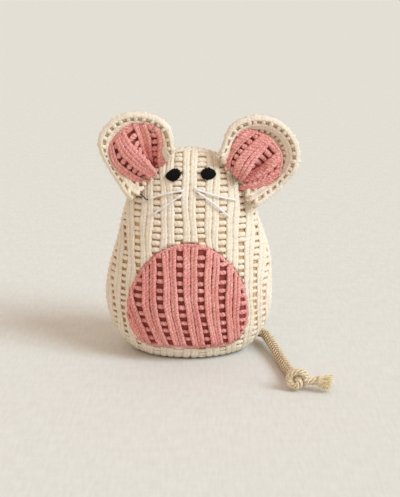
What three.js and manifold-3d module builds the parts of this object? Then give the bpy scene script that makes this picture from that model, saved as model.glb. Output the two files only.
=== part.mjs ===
// Knitted catnip mouse: a stuffed pear-shaped body with sewn-on ears, a belly patch and a knotted cord tail.
// Millimetres, +Z up. The face looks along -Y and the origin is the middle of the base, on the floor.
import * as THREE from 'three';
import { mergeVertices } from 'three/addons/utils/BufferGeometryUtils.js';
import Module from 'manifold-3d';

const wasm = await Module();
wasm.setup();

// Body outline: half width and half depth at the base, the belly and the shoulder, and the crown
const bodyHeight = 91;
const baseHalfWidth = 21;
const baseHalfDepth = 14;
const bellyHeight = 24;
const bellyHalfWidth = 36.4;
const bellyHalfDepth = 24.5;
const shoulderHeight = 66;
const shoulderHalfWidth = 28.4;
const shoulderHalfDepth = 18.5;
const shoulderLean = 0.34;

// Cloth layers, seams and clearances
const knitThickness = 2.2;
const liningThickness = 0.6;
const fitGap = 0.3;
const threadRadius = 0.3;
const seamGap = 2 * (threadRadius + fitGap);
const bodySides = 28;
const bodyRings = 15;
const threadSides = 5;

// Knit columns, counted from the middle of the front: a rib at each whole number, an open ladder at each half
const columnStep = 18.3;
const lastColumn = 3.7;
const seamColumn = 4.3;
const columnEase = 8;
const bodyLadders = 8;
const bodyLadderWidth = 0.39;
const bodyLadderDepth = 1;
const ribRings = 18;

// Sachet of dried herb
const sachetHeight = 34;
const sachetHalfWidth = 14;
const sachetHalfDepth = 8;
const sachetHalfHeight = 17;
const sachetCloth = 0.6;
const sachetSeam = 2.5;

// Belly patch outline
const patchThickness = 1.6;
const patchShift = -0.7;
const patchBottom = 7.4;
const patchTop = 53.2;
const patchHalfWidth = 25.8;
const patchWidestHeight = 22;
const patchFootHalfWidth = 12;

// Belly patch columns: their turn round the body at one height, and how they lean and fan from there
const patchColumnStep = 15.9;
const patchColumnShift = 3.15;
const patchColumnHeight = 30;
const patchColumnLean = 0.075;
const patchColumnFan = 0.0028;
const patchLadders = 6;
const patchLadderWidth = 0.34;
const patchLadderDepth = 1;
const patchEdgeColumns = [3.4, 4.6];

// Face, measured down from the crown
const eyeDrop = 9.1;
const eyeHeight = bodyHeight - eyeDrop;
const leftEyeX = -6.9;
const rightEyeX = 7.9;
const eyeHalfWidth = 3.2;
const eyeHalfHeight = 2.6;
const eyeBulge = 1.8;
const whiskerRadius = 0.45;

// Ears: a dished disc with a rolled rim, standing on the shoulder of the head
const leftEar = { side: -1, seatDrop: 6.4, discRadius: 17.5, reach: 7.9 };
const rightEar = { side: 1, seatDrop: 9.7, discRadius: 18.4, reach: 11 };
const earForward = 5;
const rimRadius = 2.8;
const rimRise = 0.6;
const earLiningThickness = 1.7;
const earCup = 3;
const pleatDepth = 5;
const pleatHalfWidth = 3.2;
const pleatShift = 2;
const footStretch = 0.45;
const footPinch = 0.22;
const outerStretch = 1.36;
const earLap = 5;
const earSides = 32;
const earBackward = -40;
const earForwardTurn = 12;

// Tail: cotton cord, knotted near its end
const cordRadius = 2.4;
const cordSides = 10;
const tailHeight = 4.2;
const tailAngle = 12;
const tailStandoff = 3.8;
const anchorRadius = 3.6;
const anchorDepth = 11;
const anchorRise = 4.6;
const knotHalfLength = 4.6;
const knotHalfWidth = 4.1;
const wrapRadius = 1.4;
const wrapBulge = 0.6;
const wrapLean = 24;
const floorGap = 0.2;
const frayLength = 13;
const frayRadius = 3.5;

const degree = Math.PI / 180;
const vec = (x, y, z) => new THREE.Vector3(x, y, z);
const smooth = (low, high, value) => THREE.MathUtils.smoothstep(value, low, high);

// A closed solid from a geometry, wound outwards
function solidOf(geometry) {
  const bare = geometry.clone();
  bare.deleteAttribute('normal');
  bare.deleteAttribute('uv');
  const merged = mergeVertices(bare, 1e-4);
  const index = merged.index.array;
  const position = merged.attributes.position;
  const corners = [0, 1, 2].map(() => vec(0, 0, 0));
  const kept = [];
  let volume = 0;
  for (let i = 0; i < index.length; i += 3) {
    const [a, b, c] = [index[i], index[i + 1], index[i + 2]];
    if (a === b || b === c || a === c) continue;
    kept.push(a, b, c);
    corners.forEach((corner, k) => corner.fromBufferAttribute(position, index[i + k]));
    volume += corners[0].dot(corners[1].clone().cross(corners[2]));
  }
  if (volume < 0) kept.reverse();
  return new wasm.Manifold(
    new wasm.Mesh({ numProp: 3, vertProperties: position.array, triVerts: new Uint32Array(kept) }),
  );
}

function geometryOf(solid) {
  const mesh = solid.getMesh();
  const geometry = new THREE.BufferGeometry();
  geometry.setAttribute('position', new THREE.BufferAttribute(new Float32Array(mesh.vertProperties), 3));
  geometry.setIndex(new THREE.BufferAttribute(new Uint32Array(mesh.triVerts), 1));
  geometry.computeVertexNormals();
  return geometry;
}

// A closed skin through rings of equal count, ending in a point at each end
function loft(rings, start, end) {
  const count = rings[0].length;
  const points = [start, ...rings.flat(), end];
  const last = points.length - 1;
  const faces = [];
  for (let j = 0; j < count; j++) {
    const next = (j + 1) % count;
    faces.push(0, 1 + next, 1 + j);
    for (let i = 0; i + 1 < rings.length; i++) {
      const low = 1 + i * count;
      const high = low + count;
      faces.push(low + j, low + next, high + next, low + j, high + next, high + j);
    }
    faces.push(last, last - count + j, last - count + next);
  }
  const geometry = new THREE.BufferGeometry().setFromPoints(points);
  geometry.setIndex(faces);
  return geometry;
}

// A block that keeps what lies beyond the seam plane: front (-1) or back (1)
function halfSpace(direction, gap) {
  const reach = 4 * bodyHeight;
  const block = new THREE.BoxGeometry(reach, reach, reach);
  return solidOf(block.translate(0, direction * (reach / 2 + gap / 2), 0));
}

// A tube along a curve
function tube(curve, radius, sides, steps) {
  const section = new THREE.Shape();
  section.absarc(0, 0, radius, 0, 2 * Math.PI);
  const options = { steps, extrudePath: curve, bevelEnabled: false, curveSegments: sides };
  const shape = new THREE.Shape(section.getSpacedPoints(sides).slice(0, sides));
  return solidOf(new THREE.ExtrudeGeometry(shape, options));
}

function ball(radius, centre, across = 16, down = 10) {
  return solidOf(new THREE.SphereGeometry(radius, across, down).translate(centre.x, centre.y, centre.z));
}

// Body outline as one curve of half width, half depth and height, from the base edge to the crown
const baseEdge = vec(baseHalfWidth, baseHalfDepth, 0);
const belly = vec(bellyHalfWidth, bellyHalfDepth, bellyHeight);
const shoulder = vec(shoulderHalfWidth, shoulderHalfDepth, shoulderHeight);
const crown = vec(0, 0, bodyHeight);
const domeRise = bodyHeight - shoulderHeight;
const waist = shoulderHeight - bellyHeight;
const lean = vec(-shoulderLean, -shoulderLean * (shoulderHalfDepth / shoulderHalfWidth), 1);
const outline = new THREE.CurvePath();
outline.add(
  new THREE.CubicBezierCurve3(
    baseEdge,
    baseEdge.clone().lerp(vec(bellyHalfWidth, bellyHalfDepth, 0), 0.66),
    belly.clone().addScaledVector(vec(0, 0, -1), 0.6 * bellyHeight),
    belly,
  ),
);
outline.add(
  new THREE.CubicBezierCurve3(
    belly,
    belly.clone().addScaledVector(vec(0, 0, 1), 0.36 * waist),
    shoulder.clone().addScaledVector(lean, -0.36 * waist),
    shoulder,
  ),
);
outline.add(
  new THREE.CubicBezierCurve3(
    shoulder,
    shoulder.clone().addScaledVector(lean, 0.56 * domeRise),
    crown.clone().add(vec(0.56 * shoulderHalfWidth, 0.56 * shoulderHalfDepth, 0)),
    crown,
  ),
);

// Half width, half depth and height at a place on the outline, moved outwards square to it
function station(place, outset = 0) {
  const at = outline.getPoint(place);
  const along = outline.getTangent(place);
  const length = Math.hypot(along.x, along.z);
  const out = vec(along.z / length, 0, -along.x / length);
  const width = at.x + outset * out.x;
  const depth = at.y + outset * out.x;
  return { width, depth, height: at.z + outset * out.z, out };
}

function placeAtHeight(height, outset = 0) {
  let low = 0;
  let high = 1;
  for (let i = 0; i < 40; i++) {
    const middle = (low + high) / 2;
    if (station(middle, outset).height < height) low = middle;
    else high = middle;
  }
  return (low + high) / 2;
}

function bodySolid(outset) {
  const rings = [];
  for (let i = 0; i < bodyRings; i++) {
    const { width, depth, height } = station(i / bodyRings, outset);
    const ring = [];
    for (let j = 0; j < bodySides; j++) {
      const angle = (j * 2 * Math.PI) / bodySides;
      ring.push(vec(width * Math.cos(angle), depth * Math.sin(angle), height));
    }
    rings.push(ring);
  }
  return solidOf(loft(rings, vec(0, 0, rings[0][0].z), vec(0, 0, bodyHeight + outset)));
}

// Columns at the walls of each ladder, with how far the knit is pressed in there
function ladderSteps(count, width, depth) {
  const steps = [];
  for (let i = 0; i < count; i++) {
    const middle = i - (count - 1) / 2;
    for (const [side, sink] of [[-0.72, 0], [-0.36, depth], [0.36, depth], [0.72, 0]]) {
      steps.push({ column: middle + side * width, sink });
    }
  }
  return steps;
}

// Share of the half width at a body column: even turns below the shoulder, straight up the head above it
function bodyShare(column, width, height) {
  const even = Math.min(Math.abs(column), lastColumn);
  const rest = (Math.abs(column) - even) / (seamColumn - lastColumn);
  const turn = Math.sign(column) * THREE.MathUtils.lerp(even * columnStep, 90, rest);
  const over = Math.max(height - shoulderHeight, 0);
  const straight = shoulderHalfWidth - shoulderLean * columnEase * (1 - Math.exp(-over / columnEase));
  return Math.sin(turn * degree) * (over > 0 ? straight / width : 1);
}

function patchShare(column, width, height) {
  const turn = column * patchColumnStep + patchColumnShift;
  const start = station(placeAtHeight(patchColumnHeight)).width * Math.sin(turn * degree);
  const lean = patchColumnLean - patchColumnFan * start;
  return (start + lean * (patchColumnHeight - height)) / width;
}

// The body with a point at each column step, front and back alike, and its ladders pressed in
function ribbedSolid(outset, steps, shareAt) {
  const rings = [];
  for (let i = 0; i < ribRings; i++) {
    const place = i / ribRings;
    const { width, height } = station(place, outset);
    const front = steps.map(({ column, sink }) => {
      const share = THREE.MathUtils.clamp(shareAt(column, width, height), -1, 1);
      const fade = i === 0 ? 0 : smooth(0, 0.1, 1 - Math.abs(share));
      const pressed = station(place, outset - sink * fade);
      return vec(pressed.width * share, -pressed.depth * Math.sqrt(1 - share ** 2), pressed.height);
    });
    const back = front.map(point => vec(point.x, -point.y, point.z)).reverse();
    rings.push([vec(-width, 0, height), ...front, vec(width, 0, height), ...back]);
  }
  return solidOf(loft(rings, vec(0, 0, rings[0][0].z), vec(0, 0, bodyHeight + outset)));
}

const bodySteps = ladderSteps(bodyLadders, bodyLadderWidth, bodyLadderDepth);
const plainSteps = bodySteps.map(({ column }) => ({ column, sink: 0 }));
const patchSteps = [
  ...patchEdgeColumns.map(column => ({ column: -column, sink: 0 })).reverse(),
  ...ladderSteps(patchLadders, patchLadderWidth, patchLadderDepth),
  ...patchEdgeColumns.map(column => ({ column, sink: 0 })),
];

// A point on the front of the body at a sideways place and a height
function frontPoint(x, height, outset) {
  const { width, depth } = station(placeAtHeight(height, outset), outset);
  const share = THREE.MathUtils.clamp(x / width, -1, 1);
  return vec(x, -depth * Math.sqrt(1 - share * share), height);
}

function frontNormal(x, height) {
  const step = 0.5;
  const across = frontPoint(x + step, height, 0).sub(frontPoint(x - step, height, 0));
  const up = frontPoint(x, height + step, 0).sub(frontPoint(x, height - step, 0));
  return across.cross(up).normalize();
}

const materials = {
  cream: { color: 0xe2d3bc, roughness: 0.95, metalness: 0 },
  pink: { color: 0xc97d75, roughness: 0.95, metalness: 0 },
  cotton: { color: 0xb89f7f, roughness: 0.95, metalness: 0 },
  fibre: { color: 0xf1eee6, roughness: 1, metalness: 0 },
  muslin: { color: 0xe6dfcd, roughness: 0.95, metalness: 0 },
  herb: { color: 0x7a7f4e, roughness: 1, metalness: 0 },
  black: { color: 0x171411, roughness: 0.7, metalness: 0 },
  white: { color: 0xf3efe6, roughness: 0.8, metalness: 0 },
  brown: { color: 0x4f3a2a, roughness: 0.85, metalness: 0 },
  cord: { color: 0xc6ab8c, roughness: 0.95, metalness: 0 },
};

const mouse = new THREE.Group();
mouse.name = 'catnip_mouse';

// A group that turns about its own origin
function addGroup(name, frame) {
  const group = new THREE.Group();
  group.name = name;
  group.applyMatrix4(frame);
  group.updateMatrixWorld();
  mouse.add(group);
  return group;
}

function addPiece(group, name, solid, material) {
  const geometry = geometryOf(solid).applyMatrix4(group.matrixWorld.clone().invert());
  const piece = new THREE.Mesh(geometry, new THREE.MeshStandardMaterial(materials[material]));
  piece.name = name;
  group.add(piece);
}

// Tail seat: where the cord leaves the body, the pin it swings about and the stop knot inside
const tailStation = station(placeAtHeight(tailHeight));
const tailSeat = vec(
  tailStation.width * Math.cos(tailAngle * degree),
  tailStation.depth * Math.sin(tailAngle * degree),
  tailHeight,
);
const tailOut = vec(
  Math.cos(tailAngle * degree) / tailStation.width,
  Math.sin(tailAngle * degree) / tailStation.depth,
  0,
).normalize();
const tailPivot = tailSeat.clone().addScaledVector(tailOut, tailStandoff);
const anchorCentre = tailSeat.clone().addScaledVector(tailOut, -anchorDepth).add(vec(0, 0, anchorRise));
const rootDirection = tailPivot.clone().sub(anchorCentre).normalize();
const rootEnd = tailPivot.clone().addScaledVector(rootDirection, -cordRadius - fitGap);
const holeEnd = tailPivot.clone().addScaledVector(rootDirection, cordRadius);
const anchorBody = (grow, end) =>
  tube(new THREE.LineCurve3(anchorCentre, end), cordRadius + grow, cordSides, 1).add(
    ball(anchorRadius + grow, anchorCentre),
  );
const tailHole = anchorBody(fitGap, holeEnd);

// Knit panels
function ellipseColumn(halfWidth, halfDepth, bottom, height) {
  const shape = new THREE.Shape();
  shape.absellipse(0, 0, halfWidth, halfDepth, 0, 2 * Math.PI);
  const options = { depth: height, bevelEnabled: false, curveSegments: bodySides / 2 };
  return solidOf(new THREE.ExtrudeGeometry(shape, options).translate(0, 0, bottom));
}

const baseColumn = outset =>
  ellipseColumn(baseHalfWidth + outset, baseHalfDepth + outset, -knitThickness, 3 * knitThickness);
const knitShell = ribbedSolid(0, bodySteps, bodyShare).subtract(bodySolid(-knitThickness));
const sideShell = knitShell.subtract(baseColumn(0));
const frontPanel = sideShell.intersect(halfSpace(-1, seamGap));
const backPanel = sideShell.intersect(halfSpace(1, seamGap)).subtract(tailHole);
const basePanel = knitShell.intersect(baseColumn(-seamGap));
const bodyGroup = addGroup('body', new THREE.Matrix4());
addPiece(bodyGroup, 'body_front_panel', frontPanel, 'cream');
addPiece(bodyGroup, 'body_back_panel', backPanel, 'cream');
addPiece(bodyGroup, 'base_panel', basePanel, 'cream');

// Seam threads, halfway through the knit
const seamInset = -knitThickness / 2;
const sideSeamPoints = [];
const sideSeamStart = 0.1;
const sideSeamSpans = 12;
for (let i = -sideSeamSpans; i <= sideSeamSpans; i++) {
  const place = 1 - (1 - sideSeamStart) * (Math.abs(i) / sideSeamSpans);
  const { width, height } = station(place, seamInset);
  sideSeamPoints.push(vec(Math.sign(i) * width, 0, height));
}
const sideSeam = new THREE.CatmullRomCurve3(sideSeamPoints);
addPiece(bodyGroup, 'side_seam_thread', tube(sideSeam, threadRadius, threadSides, 30), 'cream');

const baseSeamPoints = [];
const baseSeamSpans = 28;
for (let i = 0; i < baseSeamSpans; i++) {
  const angle = (i * 2 * Math.PI) / baseSeamSpans;
  const width = baseHalfWidth - seamGap / 2;
  const depth = baseHalfDepth - seamGap / 2;
  baseSeamPoints.push(vec(width * Math.cos(angle), depth * Math.sin(angle), knitThickness / 2));
}
const baseSeam = new THREE.CatmullRomCurve3(baseSeamPoints);
addPiece(bodyGroup, 'base_seam_thread', tube(baseSeam, threadRadius, threadSides, baseSeamSpans), 'cream');

// Cotton bag, filling and herb sachet
const liningInset = -(knitThickness + fitGap);
const fillingInset = liningInset - liningThickness - fitGap;
const liningShell = bodySolid(liningInset).subtract(bodySolid(liningInset - liningThickness));
const liningBack = liningShell.intersect(halfSpace(1, fitGap)).subtract(tailHole);
addPiece(bodyGroup, 'lining_front', liningShell.intersect(halfSpace(-1, fitGap)), 'muslin');
addPiece(bodyGroup, 'lining_back', liningBack, 'muslin');

function pillow(grow) {
  const sphere = new THREE.SphereGeometry(1, 18, 10);
  sphere.scale(sachetHalfWidth + grow, sachetHalfDepth + grow, sachetHalfHeight + grow);
  return solidOf(sphere.translate(0, 0, sachetHeight));
}

function sachetFlange(grow) {
  const shape = new THREE.Shape();
  const halfWidth = sachetHalfWidth + sachetSeam + grow;
  shape.absellipse(0, 0, halfWidth, sachetHalfHeight + sachetSeam + grow, 0, 2 * Math.PI);
  const depth = 2 * (sachetCloth + grow) + fitGap;
  const plate = new THREE.ExtrudeGeometry(shape, { depth, bevelEnabled: false, curveSegments: 12 });
  return solidOf(plate.translate(0, 0, -depth / 2).rotateX(90 * degree).translate(0, 0, sachetHeight));
}

const sachetRoom = pillow(fitGap).add(sachetFlange(fitGap));
const sachetShell = pillow(0).add(sachetFlange(0)).subtract(pillow(-sachetCloth));
const filling = bodySolid(fillingInset).subtract(sachetRoom).subtract(tailHole);
addPiece(bodyGroup, 'stuffing_front', filling.intersect(halfSpace(-1, fitGap)), 'fibre');
addPiece(bodyGroup, 'stuffing_back', filling.intersect(halfSpace(1, fitGap)), 'fibre');
addPiece(bodyGroup, 'sachet_front', sachetShell.intersect(halfSpace(-1, fitGap)), 'muslin');
addPiece(bodyGroup, 'sachet_back', sachetShell.intersect(halfSpace(1, fitGap)), 'muslin');
addPiece(bodyGroup, 'catnip_herb', pillow(-sachetCloth - fitGap), 'herb');

// Belly patch, laid on the front panel and held round its edge by a thread
function patchShape(grow) {
  const halfWidth = patchHalfWidth + grow;
  const foot = patchFootHalfWidth;
  const bottom = patchBottom - grow;
  const top = patchTop + grow;
  const rise = top - patchWidestHeight;
  const drop = patchWidestHeight - bottom;
  const shape = new THREE.Shape();
  shape.moveTo(-foot, bottom);
  shape.lineTo(foot, bottom);
  shape.bezierCurveTo(
    foot + 0.65 * (halfWidth - foot), bottom,
    halfWidth, patchWidestHeight - 0.6 * drop,
    halfWidth, patchWidestHeight,
  );
  shape.bezierCurveTo(halfWidth, patchWidestHeight + 0.52 * rise, 0.52 * halfWidth, top, 0, top);
  shape.bezierCurveTo(
    -0.52 * halfWidth, top,
    -halfWidth, patchWidestHeight + 0.52 * rise,
    -halfWidth, patchWidestHeight,
  );
  shape.bezierCurveTo(
    -halfWidth, patchWidestHeight - 0.6 * drop,
    -foot - 0.65 * (halfWidth - foot), bottom,
    -foot, bottom,
  );
  return shape;
}

const patchColumn = new THREE.ExtrudeGeometry(patchShape(0), {
  depth: 2 * bellyHalfDepth,
  bevelEnabled: false,
  curveSegments: 8,
});
const patchCutter = solidOf(patchColumn.rotateX(90 * degree).translate(patchShift, 0, 0));
const patchFace = ribbedSolid(fitGap + patchThickness, patchSteps, patchShare);
const patchShell = patchFace.subtract(ribbedSolid(fitGap, plainSteps, bodyShare));
addPiece(bodyGroup, 'belly_patch', patchShell.intersect(patchCutter), 'pink');

const threadOutset = fitGap + threadRadius;
const patchSeamPoints = patchShape(threadOutset)
  .getSpacedPoints(48)
  .slice(0, 48)
  .map(point => frontPoint(point.x + patchShift, point.y, threadOutset));
const patchSeam = new THREE.CatmullRomCurve3(patchSeamPoints);
addPiece(bodyGroup, 'belly_seam_thread', tube(patchSeam, threadRadius, threadSides, 44), 'pink');

// Eyes
function eyeSolid(x) {
  const turn = new THREE.Quaternion().setFromUnitVectors(vec(0, -1, 0), frontNormal(x, eyeHeight));
  const pad = new THREE.SphereGeometry(1, 16, 8);
  pad.scale(eyeHalfWidth, eyeBulge, eyeHalfHeight).applyQuaternion(turn);
  const seat = frontPoint(x, eyeHeight, 0);
  return solidOf(pad.translate(seat.x, seat.y, seat.z)).subtract(ribbedSolid(fitGap, plainSteps, bodyShare));
}
addPiece(bodyGroup, 'left_eye', eyeSolid(leftEyeX), 'black');
addPiece(bodyGroup, 'right_eye', eyeSolid(rightEyeX), 'black');

// Whiskers and a loose thread end, laid over the face: sideways places and drops below the eyes
function faceThread(points, radius) {
  const flat = new THREE.SplineCurve(points.map(([x, drop]) => new THREE.Vector2(x, eyeHeight - drop)));
  const laid = flat.getSpacedPoints(8).map(point => frontPoint(point.x, point.y, fitGap + radius));
  return tube(new THREE.CatmullRomCurve3(laid), radius, threadSides, 10);
}
const whiskers = {
  left_upper_whisker: [[-2.4, 6.5], [-10.3, 8.2], [-17.2, 10.9]],
  left_lower_whisker: [[-3.4, 8.4], [-8.6, 12.1], [-15.8, 17.3]],
  right_upper_whisker: [[1.7, 5.7], [10.9, 9], [19.7, 11.7]],
  right_lower_whisker: [[2.9, 6.9], [9.6, 11.9], [16.6, 18.1]],
};
for (const [name, points] of Object.entries(whiskers)) {
  addPiece(bodyGroup, name, faceThread(points, whiskerRadius), 'white');
}
const looseThread = [[-22.2, 10.3], [-20.2, 9.5], [-17.8, 11.3]];
addPiece(bodyGroup, 'loose_thread', faceThread(looseThread, threadRadius), 'brown');

// Sewn-in end of the tail
addPiece(bodyGroup, 'tail_root', anchorBody(0, rootEnd), 'cord');

// Ears: turned about the rim's own axis, then dished, pleated at the foot and cut to the head
function earFrame(ear) {
  const seatHeight = bodyHeight - ear.seatDrop;
  const seat = station(placeAtHeight(seatHeight));
  const up = vec(ear.side * seat.out.x, 0, seat.out.z);
  const across = vec(up.z, 0, -up.x);
  const hinge = vec(ear.side * seat.width, -earForward, seatHeight);
  const turned = new THREE.Matrix4().makeBasis(across, up, vec(0, -1, 0));
  const root = turned.clone().setPosition(hinge);
  const disc = turned.clone().setPosition(hinge.clone().addScaledVector(up, ear.reach));
  return { hinge, axis: across, root, disc };
}

// Local place on the ear: across, up and forward. A flared outer edge runs straight down to the head
function earPlace(ear, radius, angle, rise, flare = 0) {
  const down = -Math.cos(angle);
  const outer = flare * smooth(-0.1, 0.5, ear.side * Math.sin(angle));
  const gathered = 1 + footStretch * smooth(0.5, 1, down);
  const straight = down > 0 ? Math.min(1 / Math.abs(Math.sin(angle)), outerStretch) : 1;
  const stretched = radius * THREE.MathUtils.lerp(gathered, straight, outer);
  const up = stretched * Math.cos(angle);
  const foot = smooth(-0.1, 0.9, -up / ear.discRadius);
  const across = stretched * Math.sin(angle) * (1 - footPinch * foot * (1 - outer));
  const cup = earCup * Math.min((across ** 2 + up ** 2) / ear.discRadius ** 2, 1);
  const pleat = pleatDepth * foot * (Math.exp(-(((across - pleatShift) / pleatHalfWidth) ** 2)) - 0.5);
  return vec(across, up, rise + cup - pleat);
}

function earTurned(ear, profile, flare) {
  const turned = new THREE.LatheGeometry(profile, earSides);
  const position = turned.attributes.position;
  for (let i = 0; i < position.count; i++) {
    const [x, y, z] = [position.getX(i), position.getY(i), position.getZ(i)];
    const place = earPlace(ear, Math.hypot(x, z), Math.atan2(x, z), y, flare);
    position.setXYZ(i, place.x, place.y, place.z);
  }
  return turned;
}

// What the head sweeps through as the ear flexes, seen from the ear
function headSweep(hinge, axis) {
  const head = geometryOf(bodySolid(fitGap));
  const turns = [earBackward, 0.66 * earBackward, 0.33 * earBackward, 0, earForwardTurn];
  const copies = turns.map(turn => {
    const copy = head.clone().translate(-hinge.x, -hinge.y, -hinge.z);
    const spin = new THREE.Matrix4().makeRotationAxis(axis, -turn * degree);
    return solidOf(copy.applyMatrix4(spin).translate(hinge.x, hinge.y, hinge.z));
  });
  return copies.reduce((joined, copy) => joined.add(copy));
}

function earFootBlock(ear, frame) {
  const reach = 8 * ear.discRadius;
  const block = new THREE.BoxGeometry(reach, reach, reach);
  block.translate(0, reach / 2 - ear.reach - earLap, 0);
  return solidOf(block.applyMatrix4(frame));
}

function addEar(name, ear) {
  const { hinge, axis, root, disc } = earFrame(ear);
  const sweep = headSweep(hinge, axis);
  const footBlock = earFootBlock(ear, disc);
  const cut = geometry => solidOf(geometry.applyMatrix4(disc)).subtract(sweep).intersect(footBlock);
  const rimCentre = ear.discRadius - rimRadius;
  const floorRadius = rimCentre - 0.8 * rimRadius;
  const rim = [-90, -45, 0, 45, 90, 135].map(turn => new THREE.Vector2(
    rimCentre + rimRadius * Math.cos(turn * degree),
    rimRise + rimRadius * Math.sin(turn * degree),
  ));
  const backProfile = [
    new THREE.Vector2(0, -knitThickness),
    new THREE.Vector2(0.35 * rimCentre, -knitThickness),
    new THREE.Vector2(0.7 * rimCentre, -knitThickness),
    ...rim,
    new THREE.Vector2(floorRadius, 0),
    new THREE.Vector2(0.65 * floorRadius, 0),
    new THREE.Vector2(0.33 * floorRadius, 0),
    new THREE.Vector2(0, 0),
  ];
  const liningRadius = floorRadius - seamGap;
  const liningFloor = 2 * fitGap;
  const liningTop = liningFloor + earLiningThickness;
  const liningProfile = [
    new THREE.Vector2(0, liningFloor),
    new THREE.Vector2(0.33 * floorRadius, liningFloor),
    new THREE.Vector2(0.65 * floorRadius, liningFloor),
    new THREE.Vector2(liningRadius, liningFloor),
    new THREE.Vector2(liningRadius, liningFloor + 0.5 * earLiningThickness),
    new THREE.Vector2(liningRadius - 0.5 * earLiningThickness, liningTop),
    new THREE.Vector2(0.65 * floorRadius, liningTop),
    new THREE.Vector2(0.33 * floorRadius, liningTop),
    new THREE.Vector2(0, liningTop),
  ];
  const threadPoints = [];
  for (let turn = -112; turn <= 112; turn += 14) {
    const place = earPlace(ear, floorRadius - seamGap / 2, turn * degree, liningTop / 2);
    threadPoints.push(place.applyMatrix4(disc));
  }
  const group = addGroup(name, root);
  addPiece(group, `${name}_back`, cut(earTurned(ear, backProfile, 1)), 'cream');
  addPiece(group, `${name}_lining`, cut(earTurned(ear, liningProfile, 0)), 'pink');
  const thread = tube(new THREE.CatmullRomCurve3(threadPoints), threadRadius, threadSides, 24);
  addPiece(group, `${name}_thread`, thread, 'pink');
}
addEar('left_ear', leftEar);
addEar('right_ear', rightEar);

// Free tail: route of the cord from its pin to the middle of the knot, as steps from the pin
const tailRoute = [
  [0, 0, 0],
  [0.7, -2.6, 0],
  [1.2, -5.4, -0.1],
  [1.8, -8.6, -0.2],
  [2.5, -12, -0.4],
  [3.2, -15.7, -0.6],
  [3.9, -19.5, -0.9],
  [4.7, -23.6, -1.2],
  [5.5, -27.9, -1.4],
  [6.2, -32.2, -1.6],
  [7, -36.5, -1.7],
  [7.8, -40.8, -1.7],
  [8.5, -45.1, -1.5],
  [9.2, -49.4, -1.1],
  [9.9, -53.7, -0.4],
  [10.6, -58, 0.5],
];
const tailPoints = tailRoute.map(([x, y, z]) => vec(x, y, z).add(tailPivot));
const knotCentre = tailPoints[tailPoints.length - 1];
knotCentre.z = knotHalfWidth + wrapBulge + floorGap;
const tailHeading = knotCentre.clone().sub(tailPoints[tailPoints.length - 2]).setZ(0).normalize();
const endHeading = vec(0.97, -0.24, 0).normalize();
const knotTurn = Math.atan2(-tailHeading.x, tailHeading.y);

function knotCore(grow) {
  const core = new THREE.SphereGeometry(1, 14, 8);
  core.scale(knotHalfWidth + grow, knotHalfLength + grow, knotHalfWidth + grow).rotateZ(knotTurn);
  return solidOf(core.translate(knotCentre.x, knotCentre.y, knotCentre.z));
}

function knotWrap(lean) {
  const wrap = new THREE.TorusGeometry(knotHalfWidth + wrapBulge - wrapRadius, wrapRadius, 6, 16);
  wrap.rotateX((90 + lean) * degree).rotateZ(knotTurn);
  return solidOf(wrap.translate(knotCentre.x, knotCentre.y, knotCentre.z));
}

const tailGroup = addGroup('tail', new THREE.Matrix4().setPosition(tailPivot));
const knotBody = knotCore(0).add(knotWrap(wrapLean)).add(knotWrap(-wrapLean));
const knotRoom = knotCore(wrapBulge + fitGap);
const tailCurve = new THREE.CatmullRomCurve3(tailPoints);
const tailCord = tube(tailCurve, cordRadius, cordSides, 14).add(ball(cordRadius, tailPivot, 12, 8));
addPiece(tailGroup, 'tail_cord', tailCord.subtract(knotRoom), 'cord');
addPiece(tailGroup, 'tail_knot', knotBody, 'cord');

const frayProfile = [
  new THREE.Vector2(0, 0),
  new THREE.Vector2(cordRadius, 0),
  new THREE.Vector2(cordRadius, 0.55 * frayLength),
  new THREE.Vector2(frayRadius, 0.92 * frayLength),
  new THREE.Vector2(0.7 * frayRadius, frayLength),
  new THREE.Vector2(0, frayLength),
];
const fray = new THREE.LatheGeometry(frayProfile, cordSides);
const frayTurn = new THREE.Quaternion().setFromUnitVectors(vec(0, 1, 0), endHeading);
fray.applyQuaternion(frayTurn).translate(knotCentre.x, knotCentre.y, frayRadius + floorGap);
addPiece(tailGroup, 'tail_fray', solidOf(fray).subtract(knotRoom), 'cord');

export default mouse;
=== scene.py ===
import bpy
import numpy as np
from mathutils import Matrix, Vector


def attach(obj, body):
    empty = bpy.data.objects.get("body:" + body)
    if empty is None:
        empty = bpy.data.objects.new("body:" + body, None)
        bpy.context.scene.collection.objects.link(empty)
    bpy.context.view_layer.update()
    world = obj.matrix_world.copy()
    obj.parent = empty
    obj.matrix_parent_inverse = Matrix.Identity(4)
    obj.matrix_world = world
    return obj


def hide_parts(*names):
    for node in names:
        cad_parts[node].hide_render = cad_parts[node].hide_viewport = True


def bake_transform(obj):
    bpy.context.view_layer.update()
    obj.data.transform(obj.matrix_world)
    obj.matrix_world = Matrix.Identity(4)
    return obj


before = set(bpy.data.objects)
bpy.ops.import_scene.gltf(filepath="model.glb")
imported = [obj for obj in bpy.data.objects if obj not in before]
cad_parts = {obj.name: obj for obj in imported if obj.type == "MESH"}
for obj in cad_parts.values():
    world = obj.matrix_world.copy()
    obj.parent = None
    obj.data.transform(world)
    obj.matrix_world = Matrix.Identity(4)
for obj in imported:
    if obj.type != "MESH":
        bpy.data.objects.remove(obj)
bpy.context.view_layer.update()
mm = 0.001  # sizes in this file are millimetres, meshes are metres
degree = np.pi / 180
scene = bpy.context.scene
print("frame loaded")

# camera at the photo's angle
cameraView = {"lens": 85, "sensor": 36, "near": 10, "distance": 520, "elevation": 15,
              "target": (4.4, 0, 45.6)}


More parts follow.
